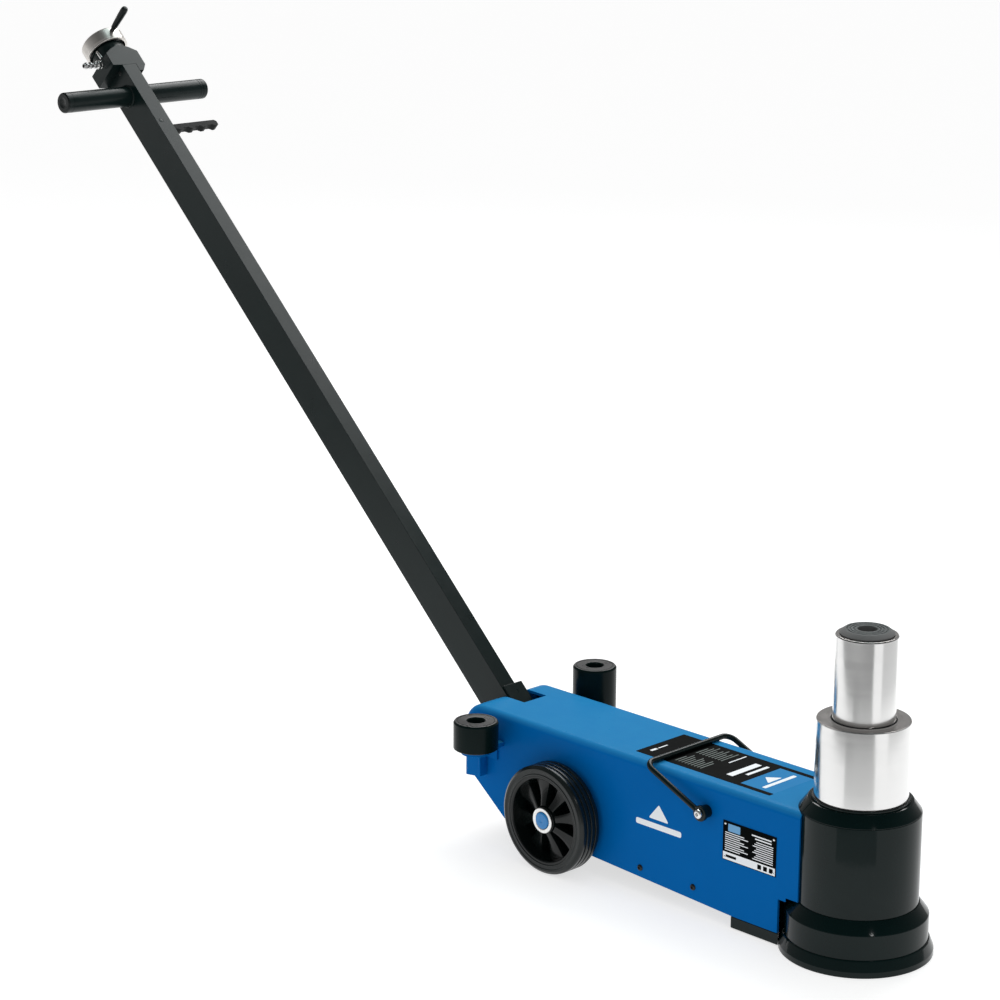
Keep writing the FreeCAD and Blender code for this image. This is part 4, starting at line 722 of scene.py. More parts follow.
# ------------------------------------------------------------------ hydraulic unit
@dataclass
class HydraulicUnit:
    """Cast foot, cylinder, head nut, both rams and the saddle, all turned about the ram axis."""

    facets: int = 160

    def build(self) -> None:
        """Make every piece of the unit."""
        self.foot()
        self.cylinder()
        self.rams()
        self.saddle()
        self.spring()

    def foot(self) -> None:
        """Cast foot with its flared skirt, step and chamfered ring."""
        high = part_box("base_casting")[1]
        skirt, top = high.x / MM, high.z / MM
        ring, wall = 94.0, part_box("cylinder_tube")[1].x / MM + 0.06
        points = [(0, 0), (skirt - 0.8, 0), (skirt, 0.8), (skirt, 8), (ring + 2.2, 20.6), (ring + 1.4, 21.8),
                  (ring, 22), (ring, 55), (wall + 1.2, top), (wall, top), (wall, 23.5), (0, 23.5)]
        profile = rounded(in_mm(points), {3: 0.004, 4: 0.0008, 6: 0.0005, 7: 0.003, 8: 0.0006}, 5)
        Stock().turn(profile, segments=self.facets).piece("cast_foot", "chassis", [CAST_ENAMEL],
                                                          ["base_casting"],
                                                          slot="cast_black")
        Stock().trace("skid_block").piece("skid_plate", "chassis", [CAST_ENAMEL], ["skid_block"],
                                          bevel=0.0012,
                                          slot="cast_black")

    def cylinder(self) -> None:
        """Pressure cylinder, and the conical head nut with its double lip."""
        wall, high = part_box("cylinder_tube")[1].x / MM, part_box("cylinder_tube")[1].z / MM
        points = [(67.6, 23.7), (wall, 23.7), (wall, high), (72.1, high), (72.1, high - 16.2),
                  (67.6, high - 16.2)]
        Stock().turn(rounded(in_mm(points), {2: 0.0007}, 3), segments=self.facets).piece(
            "pressure_cylinder", "chassis", [CAST_ENAMEL], ["cylinder_tube"], slot="cast_black")
        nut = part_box("head_nut")
        low, top, rim = nut[0].z / MM, nut[1].z / MM, nut[1].x / MM
        points = [(61.6, low), (71.8, low), (71.8, high + 0.2), (rim - 0.4, high + 0.2),
                  (rim - 0.1, high + 1.0),
                  (68.4, top - 3.2), (66.4, top - 2.7), (65.0, top - 2.7), (65.0, top - 0.3), (64.6, top),
                  (63.75, top), (63.75, top - 6), (61.6, top - 6)]
        profile = rounded(in_mm(points), {4: 0.0022, 5: 0.0012, 6: 0.0006, 8: 0.0003}, 5)
        Stock().turn(profile, segments=self.facets).piece("collar_nut", "chassis", [CAST_ENAMEL],
                                                          ["head_nut"],
                                                          slot="cast_black")
        dress("ram_wiper", BLACK_PLASTIC)

    def rams(self) -> None:
        """Both chromed stages, with the dark head ring in the mouth of the first."""
        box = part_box("big_ram")
        low, top, head = box[0].z / MM, box[1].z / MM, box[1].x / MM
        points = [(0, low), (head, low), (head, low + 12), (61.5, low + 12), (61.5, low + 22),
                  (head, low + 22),
                  (head, low + 42), (61.5, low + 42), (61.5, top - 0.9), (60.6, top), (50.05, top),
                  (50.05, low + 12), (0, low + 12)]
        Stock().turn(rounded(in_mm(points), {8: 0.0006, 9: 0.0005}, 3), segments=self.facets).piece(
            "first_ram", "first_stage", [HARD_CHROME, TURNED_STEEL], ["big_ram"], slot="chrome",
            paint=lambda f: int(f.normal.z > 0.9 and f.calc_center_median().z > 0.3))
        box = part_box("head_ring")
        points = [(41.06, box[0].z / MM), (49.95, box[0].z / MM), (49.95, top - 0.35), (49.6, top - 0.3),
                  (43.2, top - 0.3), (42.6, top - 0.7), (42.0, top - 0.3), (41.7, top - 0.5),
                  (41.06, top - 1.6)]
        Stock().turn(in_mm(points), segments=self.facets).piece(
            "gland_ring", "first_stage", [DARK_STEEL, TURNED_STEEL], ["head_ring"], slot="dark_steel",
            paint=lambda f: int(f.normal.z > 0.9 and f.calc_center_median().z > 0.3
                                and f.calc_center_median().xy.length > 0.0428))
        dress("piston_seal", BLACK_PLASTIC)
        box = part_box("small_ram")
        low, top, head = box[0].z / MM, box[1].z / MM, box[1].x / MM
        points = [(28, low), (head, low), (head, low + 31), (41, low + 31), (41, top - 1.4), (39.6, top),
                  (18.05, top), (18.05, top - 10.5), (12.5, top - 10.5), (12.5, top - 26), (0, top - 26),
                  (0, top - 36), (28, top - 36)]
        Stock().turn(rounded(in_mm(points), {4: 0.0007, 5: 0.0007}, 3), segments=self.facets).piece(
            "second_ram", "second_stage", [HARD_CHROME, TURNED_STEEL], ["small_ram"], slot="chrome",
            paint=lambda f: int(f.normal.z > 0.9 and f.calc_center_median().z > 0.4))

    def saddle(self) -> None:
        """Grooved saddle pad with a chamfered edge and its socket."""
        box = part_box("saddle_pad")
        low, top = box[0].z / MM, box[1].z / MM
        foot, flat = top - 6.3, 29.5
        points = [(12.25, low + 0.1), (17.9, low + 0.1), (17.9, foot), (35.2, foot), (35.8, foot + 0.6),
                  (35.8, foot + 1.7), (flat, top)]
        for groove in (26.2, 21.9, 17.6):
            points += [(groove + 0.7, top), (groove + 0.2, top - 1.1), (groove - 0.8, top - 1.1),
                       (groove - 1.3, top)]
        points += [(13.2, top), (12.25, top - 0.9)]
        radii = {k: 0.0004 for k in range(4, len(points))}
        Stock().turn(rounded(in_mm(points), radii, 3), segments=self.facets).piece(
            "saddle_top", "saddle", [PAD_IRON, PAD_FACE], ["saddle_pad"], slot="pad_iron", corner=26.0,
            paint=lambda f: int(f.normal.z > 0.3 and f.calc_center_median().xy.length < flat * MM))

    def spring(self) -> None:
        """Return spring in the second stage, drawn as a coil."""
        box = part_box("return_spring")
        wire, mean, turns = 2.4 * MM, 20 * MM, 11
        low, high = 0.1435, box[1].z - 0.0026
        path = []
        for step in range(turns * 24 + 1):
            angle = 2 * math.pi * step / 24
            path.append(Vector((mean * math.cos(angle), mean * math.sin(angle),
                                low + (high - low) * step / (turns * 24))))
        coil = Stock().bar(path, wire, 10).piece("pull_spring", "first_stage", [SPRING_STEEL],
                                                 ["return_spring"],
                                                 slot="spring_steel")
        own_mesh(coil)


# ------------------------------------------------------------------ chassis
@dataclass
class Chassis:
    """Folded cover with its plates, shelves, screws and graphics."""

    deck: float = 0.1941
    side: float = 0.0719
    screw_seat: float = 0.07195
    film: float = 0.00012

    def build(self) -> None:
        """Make the cover and everything fixed to it."""
        Stock().trace("chassis_cover").piece("folded_cover", "chassis", [BLUE_ENAMEL], ["chassis_cover"],
                                             bevel=0.0006,
                                             slot="cover_blue")
        Stock().trace("belly_pan").piece("belly_tray", "chassis", [BLACK_ENAMEL], ["belly_pan"], bevel=0.0006,
                                         slot="frame_black")
        for node in ("shelf_right", "shelf_left"):
            Stock().trace(node).piece(node + "_plate", "chassis", [BLUE_ENAMEL], [node], bevel=0.001,
                                      slot="cover_blue")
        self.screws()
        self.deck_panel()
        self.side_mark()
        self.rating()

    def screws(self) -> None:
        """Button-head screws with round key recesses, along the lower edges."""
        stock = Stock()
        for x in (-0.2224, -0.3193):
            for sign in (-1, 1):
                at = upright((x, sign * self.screw_seat, 0.0393), (0, sign, 0))
                self.button(stock, at, 4.5, 2.55, 2.0)
        stock.piece("edge_screws", "chassis", [DARK_STEEL], ["cover_screws"], slot="dark_steel")

    @staticmethod
    def button(stock: Stock, at: Matrix, radius: float, height: float, key: float) -> None:
        """Add a button-head screw with a round key recess.

        Args:
            stock: The stock that it goes in.
            at: Place and heading of the head's seat.
            radius: Head radius in millimetres.
            height: Head height in millimetres.
            key: Radius of the recess in millimetres.
        """
        profile = [(0, 0), (radius, 0), (radius, height * 0.25), (radius * 0.86, height * 0.68),
                   (radius * 0.62, height * 0.95), (key + 0.15, height), (key, height * 0.92),
                   (key * 0.92, height * 0.35), (0, height * 0.28)]
        stock.turn(rounded(in_mm(profile), {2: 0.0005, 3: 0.0008, 4: 0.0006}, 3), at, 36)

    def deck_panel(self) -> None:
        """Blank printed panel on the deck: black field with ruled lines, blue field between black rails."""
        z = self.deck
        field_ = Stock().slab(bar_outline(-0.352, -0.050, 0.182, 0.0985, 0.002), z, z + self.film)
        field_.slab(bar_outline(-0.1705, -0.050, 0.0585, 0.0085, 0.0015), z, z + self.film)
        field_.slab(bar_outline(-0.1705, 0.0400, 0.0585, 0.0085, 0.0015), z, z + self.film)
        field_.piece("deck_panel", "chassis", [PRINT_BLACK])
        Stock().slab(bar_outline(-0.1698, -0.0412, 0.0575, 0.0810, 0.0008), z, z + self.film * 0.7).piece(
            "deck_field", "chassis", [PRINT_BLUE])
        rules = Stock()
        top = z + self.film * 2
        rows = [(-0.3405, -0.034, 0.012, 0.0050), (-0.3390, -0.019, 0.018, 0.0024),
                (-0.2050, -0.030, 0.060, 0.0110),
                (-0.1870, -0.012, 0.044, 0.0055), (-0.2330, 0.006, 0.036, 0.0022)]
        for row in range(9):
            rows.append((-0.2900 + 0.0056 * row, 0.004, 0.024 + 0.006 * ((row * 4) % 3), 0.0017))
            rows.append((-0.2900 + 0.0056 * row, -0.038, 0.022 + 0.005 * ((row * 5) % 3), 0.0017))
        for row, (x, y, length, tall) in enumerate(rows):
            rules.slab([(x, y), (x + tall, y), (x + tall, y + length), (x, y + length)], z + self.film, top,
                       slot=int(row > 4))
        rules.piece("deck_rules", "chassis", [PRINT_WHITE, PRINT_GREY])
        self.lift_mark("field_mark", Matrix.Translation(Vector((-0.144, -0.001, z + self.film * 0.7)))
                       @ Matrix.Rotation(math.pi / 2, 4, "Z"), 0.72, PRINT_WHITE)

    def lift_mark(self, name: str, at: Matrix, scale: float, finish: Finish) -> None:
        """Plain lift sign: a triangle over a bar.

        Args:
            name: The piece's name.
            at: Place of the sign's centre, with local Z out of the surface.
            scale: Size against a sign of 90 mm.
            finish: Its ink.
        """
        k = scale * MM
        wedge = rounded([(-20 * k, 0), (20 * k, 0), (0, 24 * k)], 1.8 * k, 3)
        stock = Stock().slab(wedge, 0, self.film, at)
        stock.slab(bar_outline(-45 * k, -15 * k, 90 * k, 9 * k, 3 * k), 0, self.film, at)
        stock.piece(name, "chassis", [finish])

    def side_mark(self) -> None:
        """Lift sign on both sides of the cover."""
        for name, sign in (("side_mark_right", -1), ("side_mark_left", 1)):
            turn = Matrix(((-sign, 0, 0, 0), (0, 0, sign, 0), (0, 1, 0, 0), (0, 0, 0, 1)))
            at = Matrix.Translation(Vector((-0.287, sign * self.side, 0.1165))) @ turn
            self.lift_mark(name, at, 0.92, PRINT_WHITE)

    def rating(self) -> None:
        """Blank rating plate: a black plate with ruled lines, a pale band and a blue patch, riveted on."""
        low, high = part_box("rating_plate")
        Stock().trace("rating_plate").piece("plate_blank", "chassis", [PRINT_BLACK], ["rating_plate"],
                                            bevel=0.0002,
                                            slot="plate_print")
        face = low.y
        at = Matrix(((1, 0, 0, low.x), (0, 0, -1, face), (0, 1, 0, low.z), (0, 0, 0, 1)))
        wide, tall = high.x - low.x, high.z - low.z
        ink = Stock().slab(bar_outline(0.001, 0.001, wide - 0.002, 0.0105), 0, self.film, at)
        ink.slab(bar_outline(0.050, tall - 0.0085, 0.034, 0.0018), 0, self.film, at)
        ink.slab(bar_outline(0.056, tall - 0.0125, 0.028, 0.0018), 0, self.film, at)
        for row in range(9):
            y = 0.0145 + row * 0.0030
            ink.slab(bar_outline(0.004, y, 0.026 + 0.007 * ((row * 5) % 3), 0.0012), 0, self.film, at)
            ink.slab(bar_outline(0.052 + 0.003 * ((row * 7) % 3), y, 0.035 - 0.003 * ((row * 7) % 3), 0.0012),
                     0,
                     self.film, at)
        ink.piece("plate_lines", "chassis", [PRINT_WHITE])
        Stock().slab(bar_outline(0.009, tall - 0.0135, 0.021, 0.0105, 0.0008), 0, self.film, at).piece(
            "plate_patch", "chassis", [PRINT_SKY])
        marks = Stock().slab(bar_outline(0.006, 0.0045, 0.018, 0.0035), self.film, self.film * 2, at)
        for k in range(3):
            marks.slab(bar_outline(wide - 0.031 + 0.010 * k, 0.003, 0.0065, 0.0065, 0.0008), self.film,
                       self.film * 2, at)
        marks.piece("plate_marks", "chassis", [PRINT_BLACK])
        rivets = Stock()
        for x in (0.004, wide - 0.004):
            for z in (0.004, tall - 0.004):
                spot = upright((low.x + x, face, low.z + z), (0, -1, 0))
                rivets.turn(rounded(in_mm([(0, 0), (1.8, 0), (1.7, 0.35), (1.1, 0.8), (0, 0.95)]),
                                    {2: 0.0003}, 3),
                            spot, 24)
        rivets.piece("plate_studs", "chassis", [ZINC], ["plate_rivets"], slot="bright_steel")


# ------------------------------------------------------------------ running gear
@dataclass
class RunningGear:
    """Axle, spacers, clips, caps and both wheels."""

    axle_x: float = -0.4665
    axle_z: float = 0.078
    spokes: int = 8

    def build(self) -> None:
        """Make the axle fittings and the wheels."""
        dress("axle", DARK_STEEL)
        Stock().trace("axle_spacers").piece("axle_collars", "chassis", [BLUE_ENAMEL], ["axle_spacers"],
                                            bevel=0.0006,
                                            slot="cover_blue")
        for side, sign in (("right", -1), ("left", 1)):
            self.wheel(side, sign)
        clips, caps = Stock(), Stock()
        for sign in (-1, 1):
            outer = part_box("axle_clips")[1].y
            at = upright((self.axle_x, sign * (outer - 0.0025), self.axle_z), (0, sign, 0))
            clips.turn(rounded(in_mm([(12.6, 0), (18.2, 0), (18.2, 2.0), (17.2, 2.5), (13.4, 2.5),
                                      (12.6, 2.0)]),
                               {2: 0.0006, 3: 0.0006}, 3), at, 72)
            at = upright((self.axle_x, sign * (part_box("axle_caps")[1].y - 0.003), self.axle_z), (0, sign, 0))
            caps.turn(rounded(in_mm([(0, 0), (11.9, 0), (11.9, 1.4), (10.4, 2.6), (3.2, 2.95), (2.6, 2.5),
                                     (0, 2.4)]), {3: 0.001, 4: 0.0004}, 4), at, 64)
            for k in range(3):
                turn = Matrix.Rotation(2 * math.pi * k / 3 + 0.5, 4, "Z")
                caps.slab(bar_outline(0.0098, -0.0012, 0.0024, 0.0024), 0.0, 0.0012, at @ turn)
        clips.piece("hub_washers", "chassis", [ZINC], ["axle_clips"], slot="bright_steel")
        caps.piece("hub_caps", "chassis", [CAP_PLASTIC], ["axle_caps"], slot="cap_blue")

    def wheel(self, side: str, sign: int) -> None:
        """Solid tyre with a grooved tread on a deep moulded rim.

        Args:
            side: Right or left.
            sign: The side's direction along Y.
        """
        body = "wheel_" + side
        low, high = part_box("tyre_" + side)
        inner = low.y if sign > 0 else high.y
        at = upright((self.axle_x, inner, self.axle_z), (0, sign, 0))
        points = [(63.5, 0.6), (66, 0), (73.5, 0), (76.6, 1.6), (77.9, 4.6)]
        for place in (10.4, 18.5, 26.6):
            points += [(78, place - 1.5), (77.4, place - 1.1), (76.1, place - 0.9), (76.1, place + 0.9),
                       (77.4, place + 1.1), (78, place + 1.5)]
        points += [(77.9, 32.4), (76.9, 34.6), (75.2, 35.6), (73.6, 36.9), (70.6, 36.9), (70.0, 36.2),
                   (66.6, 36.0), (66.0, 36.8), (64.4, 36.8), (63.5, 36.2)]
        radii = {k: 0.0006 for k in range(len(points))}
        Stock().turn(rounded(in_mm(points), radii, 2), at, 144).piece("solid_tyre_" + side, body, [RUBBER],
                                                                      ["tyre_" + side], slot="tyre")
        rim = Stock().turn(rounded(in_mm([
            (56.6, 1), (63.3, 1), (63.3, 36), (60.6, 36), (59.2, 34.6), (58.4, 30.5), (55.4, 16), (54.6, 8.8),
            (56.6, 8)]), {3: 0.0012, 4: 0.001, 6: 0.002}, 4), at, 128)
        rim.turn(rounded(in_mm([(15.7, 1), (22.8, 1), (22.4, 12), (20.6, 27), (19.2, 33.6), (17.6, 34),
                                (15.7, 34)]),
                         {3: 0.003, 4: 0.0012}, 4), at, 96)
        rim.turn(rounded(in_mm([(21.0, 5), (56.2, 5), (56.2, 8.8), (21.0, 10.2)]), 0.0004, 2), at, 96)
        for k in range(self.spokes):
            turn = at @ Matrix.Rotation(2 * math.pi * (k + 0.32) / self.spokes, 4, "Z")
            self.spoke(rim, turn)
        rim.piece("wheel_rim_" + side, body, [RIM_PLASTIC], ["rim_" + side], slot="rim_black")
        dress("bush_" + side, BRASS)

    @staticmethod
    def spoke(stock: Stock, at: Matrix) -> None:
        """Add one spoke: a crowned arm that widens towards the rim.

        Args:
            stock: The stock that it goes in.
            at: The wheel's place, turned to the spoke.
        """
        sections = 9
        across = 9
        corners: list[tuple[float, float, float]] = []
        for k in range(sections):
            share = k / (sections - 1)
            radius = 19.5 + 37.5 * share
            half = 5.2 + 8.8 * share ** 1.8
            crown = 30.5 - 9.0 * share - 2.0 * math.sin(math.pi * share)
            for j in range(across):
                turn = math.pi * j / (across - 1)
                corners.append((radius * MM, half * math.cos(turn) * MM,
                                (crown - 1.8 + 1.8 * math.sin(turn) ** 0.6) * MM))
            corners.append((radius * MM, -half * MM * 1.1, 9.0 * MM))
            corners.append((radius * MM, half * MM * 1.1, 9.0 * MM))
        ring = across + 2
        faces = []
        for k in range(sections - 1):
            for j in range(ring):
                nxt = (j + 1) % ring
                faces.append([k * ring + j, k * ring + nxt, (k + 1) * ring + nxt, (k + 1) * ring + j])
        faces.append(list(range(ring)))
        faces.append([(sections - 1) * ring + j for j in range(ring)][::-1])
        stock.shell(corners, faces, at, 0)


# ------------------------------------------------------------------ carrying bail
@dataclass
class CarryingBail:
    """Bent rod that lies on the deck, its eyes, bosses and bright bolts."""

    rod: float = 0.004
    bend: float = 0.015
    boss_seat: float = 0.07195
    bolt_seat: float = 0.072

    def build(self) -> None:
        """Make the bail and its fixings."""
        low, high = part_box("bail_rod")
        x, z = -0.2006, 0.1543
        side = 0.0849
        top, back = high.z - self.rod, low.x + self.rod
        arm = Vector((back - x, 0, top - z))
        root = arm.normalized() * 0.0082
        path = arcs([Vector((x + root.x, -side, z + root.z)), Vector((back, -side, top)),
                     Vector((back, side, top)), Vector((x + root.x, side, z + root.z))],
                    [self.bend, self.bend], 14)
        stock = Stock().bar(path, self.rod, 28)
        for sign in (-1, 1):
            at = upright((x, sign * side - sign * 0.003, z), (0, sign, 0))
            stock.turn(rounded(in_mm([(4.1, 0), (10.9, 0), (10.9, 6), (4.1, 6)]), 0.0012, 4), at, 56)
        stock.piece("carry_bail", "bail", [BLACK_ENAMEL], ["bail_rod"], slot="frame_black")
        bosses, bolts = Stock(), Stock()
        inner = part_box("bail_bosses")[1].y
        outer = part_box("bail_bolts")[1].y
        for sign in (-1, 1):
            at = upright((x, sign * self.boss_seat, z), (0, sign, 0))
            span = (inner - self.boss_seat) / MM
            bosses.turn(rounded(in_mm([(4.1, 0), (9.1, 0), (9.1, span), (4.1, span)]), {1: 0.0003, 2: 0.001},
                                4), at, 48)
            shank = (outer - 0.0046 - self.bolt_seat) / MM
            head = shank + 4.6
            bolts.turn(rounded(in_mm([(0, 0), (3.95, 0), (3.95, shank), (6.55, shank), (6.55, shank + 1.4),
                                      (6.1, shank + 3.2), (4.4, head - 0.3), (2.6, head), (2.3, head - 0.3),
                                      (2.1, head - 2.4), (0, head - 2.7)]),
                               {4: 0.0008, 5: 0.0012, 6: 0.001}, 4),
                       upright((x, sign * self.bolt_seat, z), (0, sign, 0)), 48)
        bosses.piece("bail_spacers", "chassis", [BLACK_ENAMEL], ["bail_bosses"], slot="frame_black")
        bolts.piece("bail_studs", "chassis", [ZINC], ["bail_bolts"], slot="bright_steel")


# ------------------------------------------------------------------ height adapters
@dataclass
class HeightAdapters:
    """Two loose adapters with machined tops."""

    def build(self) -> None:
        """Make both adapters."""
        for node, body, name in (("adapter_short", "short_adapter", "low_adapter"),
                                 ("adapter_tall", "tall_adapter", "high_adapter")):
            low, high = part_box(node)
            centre = (low + high) / 2
            foot = low.z + 0.0075
            tall = (high.z - foot) / MM
            points = [(0, -7.4), (10.8, -7.4), (11.9, -6.4), (11.9, 0), (30.6, 0), (31.9, 1.2),
                      (31.9, tall - 2.4), (29.8, tall), (27.0, tall), (26.7, tall - 0.4), (26.2, tall - 0.4),
                      (25.9, tall), (13.6, tall), (12.25, tall - 1.3), (12.25, tall - 24), (0, tall - 24)]
            radii = {4: 0.0006, 5: 0.0008, 6: 0.0009, 7: 0.0006, 12: 0.0005, 13: 0.0005}
            at = Matrix.Translation(Vector((centre.x, centre.y, foot)))
            finish = Finish("machined_top_" + name, (0.11, 0.11, 0.11), (0.24, 0.36), metallic=0.85, tint=0.1,
                            grain_depth=0.0, lines=2200.0, line_depth=0.00002, outward=1.0, axis=at)
            top = high.z
            Stock().turn(rounded(in_mm(points), radii, 4), at, 112).piece(
                name, body, [ADAPTER_BLACK, finish], [node], slot="frame_black",
                paint=lambda f, top=top: int(f.normal.z > 0.9 and f.calc_center_median().z > top - 0.001))


# ------------------------------------------------------------------ handle
@dataclass
class Handle:
    """Steering handle, drawn upright about its pivot: local X is its front, local Z its length."""

    place: Matrix

    def build(self) -> None:
        """Make the tube, the foot, the grip bar and the lever."""
        self.tube()
        self.grip_bar()
        self.lever()
        self.head()
        self.inlet()
        self.control()

    def spot(self, n: float, y: float, a: float) -> Vector:
        """Give the place of a point on the handle, in millimetres."""
        return self.place @ Vector((n * MM, y * MM, a * MM))

    def along(self, n: float, y: float, a: float, heading: tuple[float, float, float]) -> Matrix:
        """Stand local Z along a heading of the handle's own frame at a point in millimetres."""
        return self.place @ upright((n * MM, y * MM, a * MM), heading)

    def tube(self) -> None:
        """Rectangular tube with rounded corners, and the cheek and front plate at its foot."""
        def share(edge: bmesh.types.BMEdge) -> float:
            """Give long edges the full corner radius and cut edges a fine break."""
            return 1.0 if edge.calc_length() > 0.25 else 0.22
        Stock().trace("handle_tube").piece("main_tube", "handle", [TUBE_ENAMEL], ["handle_tube"],
                                           bevel=0.0022,
                                           steps=3, slot="frame_black", weigh=share)
        Stock().trace("handle_foot").piece("foot_bracket", "handle", [TUBE_ENAMEL], ["handle_foot"],
                                           bevel=0.0007,
                                           slot="frame_black")

    def grip_bar(self) -> None:
        """Cross bar with end plugs, grooved near its ends, and weld beads where it meets the tube."""
        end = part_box("grip_bar")[1].y / MM
        a = 1194.7
        ring = [(13.05, -end), (15.9, -end), (15.9, -end + 7), (15.6, -end + 7.3), (15.6, -end + 8.1),
                (15.9, -end + 8.4), (15.9, end - 12.6), (15.55, end - 12.3), (15.55, end - 11.5),
                (15.9, end - 11.2),
                (15.9, end - 7.6), (15.55, end - 7.3), (15.55, end - 6.5), (15.9, end - 6.2), (15.9, end),
                (13.05, end)]
        at = self.along(0, 0, a, (0, 1, 0))
        Stock().turn(in_mm(ring), at, 72).piece("cross_bar", "handle", [TUBE_ENAMEL], ["grip_bar"],
                                                slot="frame_black")
        plugs = Stock()
        for sign in (-1, 1):
            at = self.along(0, sign * end, a, (0, sign, 0))
            plugs.turn(rounded(in_mm([(0, -13), (12.9, -13), (12.9, 0.15), (15.8, 0.15), (15.8, 1.2),
                                      (14.3, 2.9),
                                      (8.5, 2.9), (8.0, 2.5), (0, 2.3)]), {4: 0.001, 5: 0.0008}, 4), at, 64)
        plugs.piece("bar_end_plugs", "handle", [BLACK_PLASTIC], ["bar_plugs"], slot="plug_black")
        beads = Stock()
        for sign in (-1, 1):
            self.bead(beads, sign * 13.7, a)
        beads.piece("bar_welds", "handle", [TUBE_ENAMEL])

    def bead(self, stock: Stock, y: float, a: float) -> None:
        """Add an uneven weld bead round the grip bar.

        Args:
            stock: The stock that it goes in.
            y: The bead's place across the handle, in millimetres.
            a: The bar's height along the handle, in millimetres.
        """
        around, across = 90, 8
        corners = []
        for k in range(around):
            angle = 2 * math.pi * k / around
            swell = 1.55 + 0.28 * noise.noise(Vector((math.cos(angle) * 3, math.sin(angle) * 3, y)))
            swell += 0.1 * math.sin(angle * 26)
            for j in range(across):
                turn = 2 * math.pi * j / across
                radius = 16.6 + swell * math.cos(turn)
                corners.append((radius * math.cos(angle) * MM, (y + swell * math.sin(turn)) * MM,
                                (a + radius * math.sin(angle)) * MM))
        faces = []
        for k in range(around):
            for j in range(across):
                faces.append([k * across + j, k * across + (j + 1) % across,
                              ((k + 1) % around) * across + (j + 1) % across,
                              ((k + 1) % around) * across + j])
        stock.shell(corners, faces, self.place, 0)

    def lever(self) -> None:
        """Release lever with finger grooves, its pin and the lock parts it moves."""
        Stock().trace("grip_lever").piece("finger_lever", "grip", [LEVER_BLACK], ["grip_lever"], bevel=0.0032,
                                          steps=4, slot="frame_black")
        for node, body, finish in (("lock_rod", "lock", DARK_STEEL), ("lock_bolt", "lock", DARK_STEEL)):
            Stock().trace(node).piece(node + "_part", body, [finish], [node], bevel=0.0004, slot="dark_steel")
        pin = Stock()
        low = -27.8
        pin.turn(rounded(in_mm([(0, low), (3.95, low), (3.95, -low), (0, -low)]), {1: 0.0006, 2: 0.0006}, 3),
                 self.along(0, -4, 1121, (1, 0, 0)), 32)
        pin.piece("lever_axis", "handle", [TUBE_ENAMEL], ["lever_pin"], slot="dark_steel")
        dress("handle_air_line", HOSE)
        dress("air_swivel", BRASS)

    def head(self) -> None:
        """Valve housing with its neck, a silencer grille, a fixing screw and a bright stop pin."""
        Stock().trace("valve_housing").piece("valve_body", "handle", [TUBE_ENAMEL], ["valve_housing"],
                                             bevel=0.0009,
                                             steps=3, slot="frame_black")
        screw = Stock()
        Chassis.button(screw, self.along(13.5, -13.4, 1230.5, (0, -1, 0)), 3.4, 1.8, 1.5)
        screw.piece("housing_screw", "handle", [DARK_STEEL])
        pin = Stock().turn(rounded(in_mm([(0, 0), (2.8, 0), (2.8, 13.4), (2.2, 14.3), (0, 14.5)]),
                                   {3: 0.0004}, 3),
                           self.along(8, -25, 1268, (0, -0.12, 1)), 28)
        pin.piece("stop_pin", "handle", [ZINC])
        self.grille()

    def grille(self) -> None:
        """Silencer grille on the right face: a thin plate of small square pockets."""
        at = self.place @ Matrix.Translation(Vector((17.5, -30, 1253.5)) * MM) @ Matrix(
            ((1, 0, 0, 0), (0, 0, -1, 0), (0, 1, 0, 0), (0, 0, 0, 1)))
        bm_stock = Stock()
        columns, rows, pitch = 6, 5, 0.0031
        grid = bmesh.ops.create_grid(bm_stock.bm, x_segments=columns, y_segments=rows, size=0.5)
        bmesh.ops.scale(bm_stock.bm, vec=(columns * pitch, rows * pitch, 1), verts=grid["verts"])
        for vert in bm_stock.bm.verts:
            vert.co.z = 0.0007
        cells = list(bm_stock.bm.faces)
        edge = [e for e in bm_stock.bm.edges if e.is_boundary]
        skirt = bmesh.ops.extrude_edge_only(bm_stock.bm, edges=edge)
        for item in skirt["geom"]:
            if isinstance(item, bmesh.types.BMVert):
                item.co.z = -0.0003
        bmesh.ops.contextual_create(bm_stock.bm, geom=[e for e in bm_stock.bm.edges if e.is_boundary])
        bmesh.ops.inset_individual(bm_stock.bm, faces=cells, thickness=0.0006, depth=0.0)
        bmesh.ops.inset_individual(bm_stock.bm, faces=cells, thickness=0.0002, depth=-0.0008)
        bmesh.ops.transform(bm_stock.bm, matrix=at, verts=bm_stock.bm.verts)
        bm_stock.piece("silencer_grille", "handle", [GRILLE_GREY])

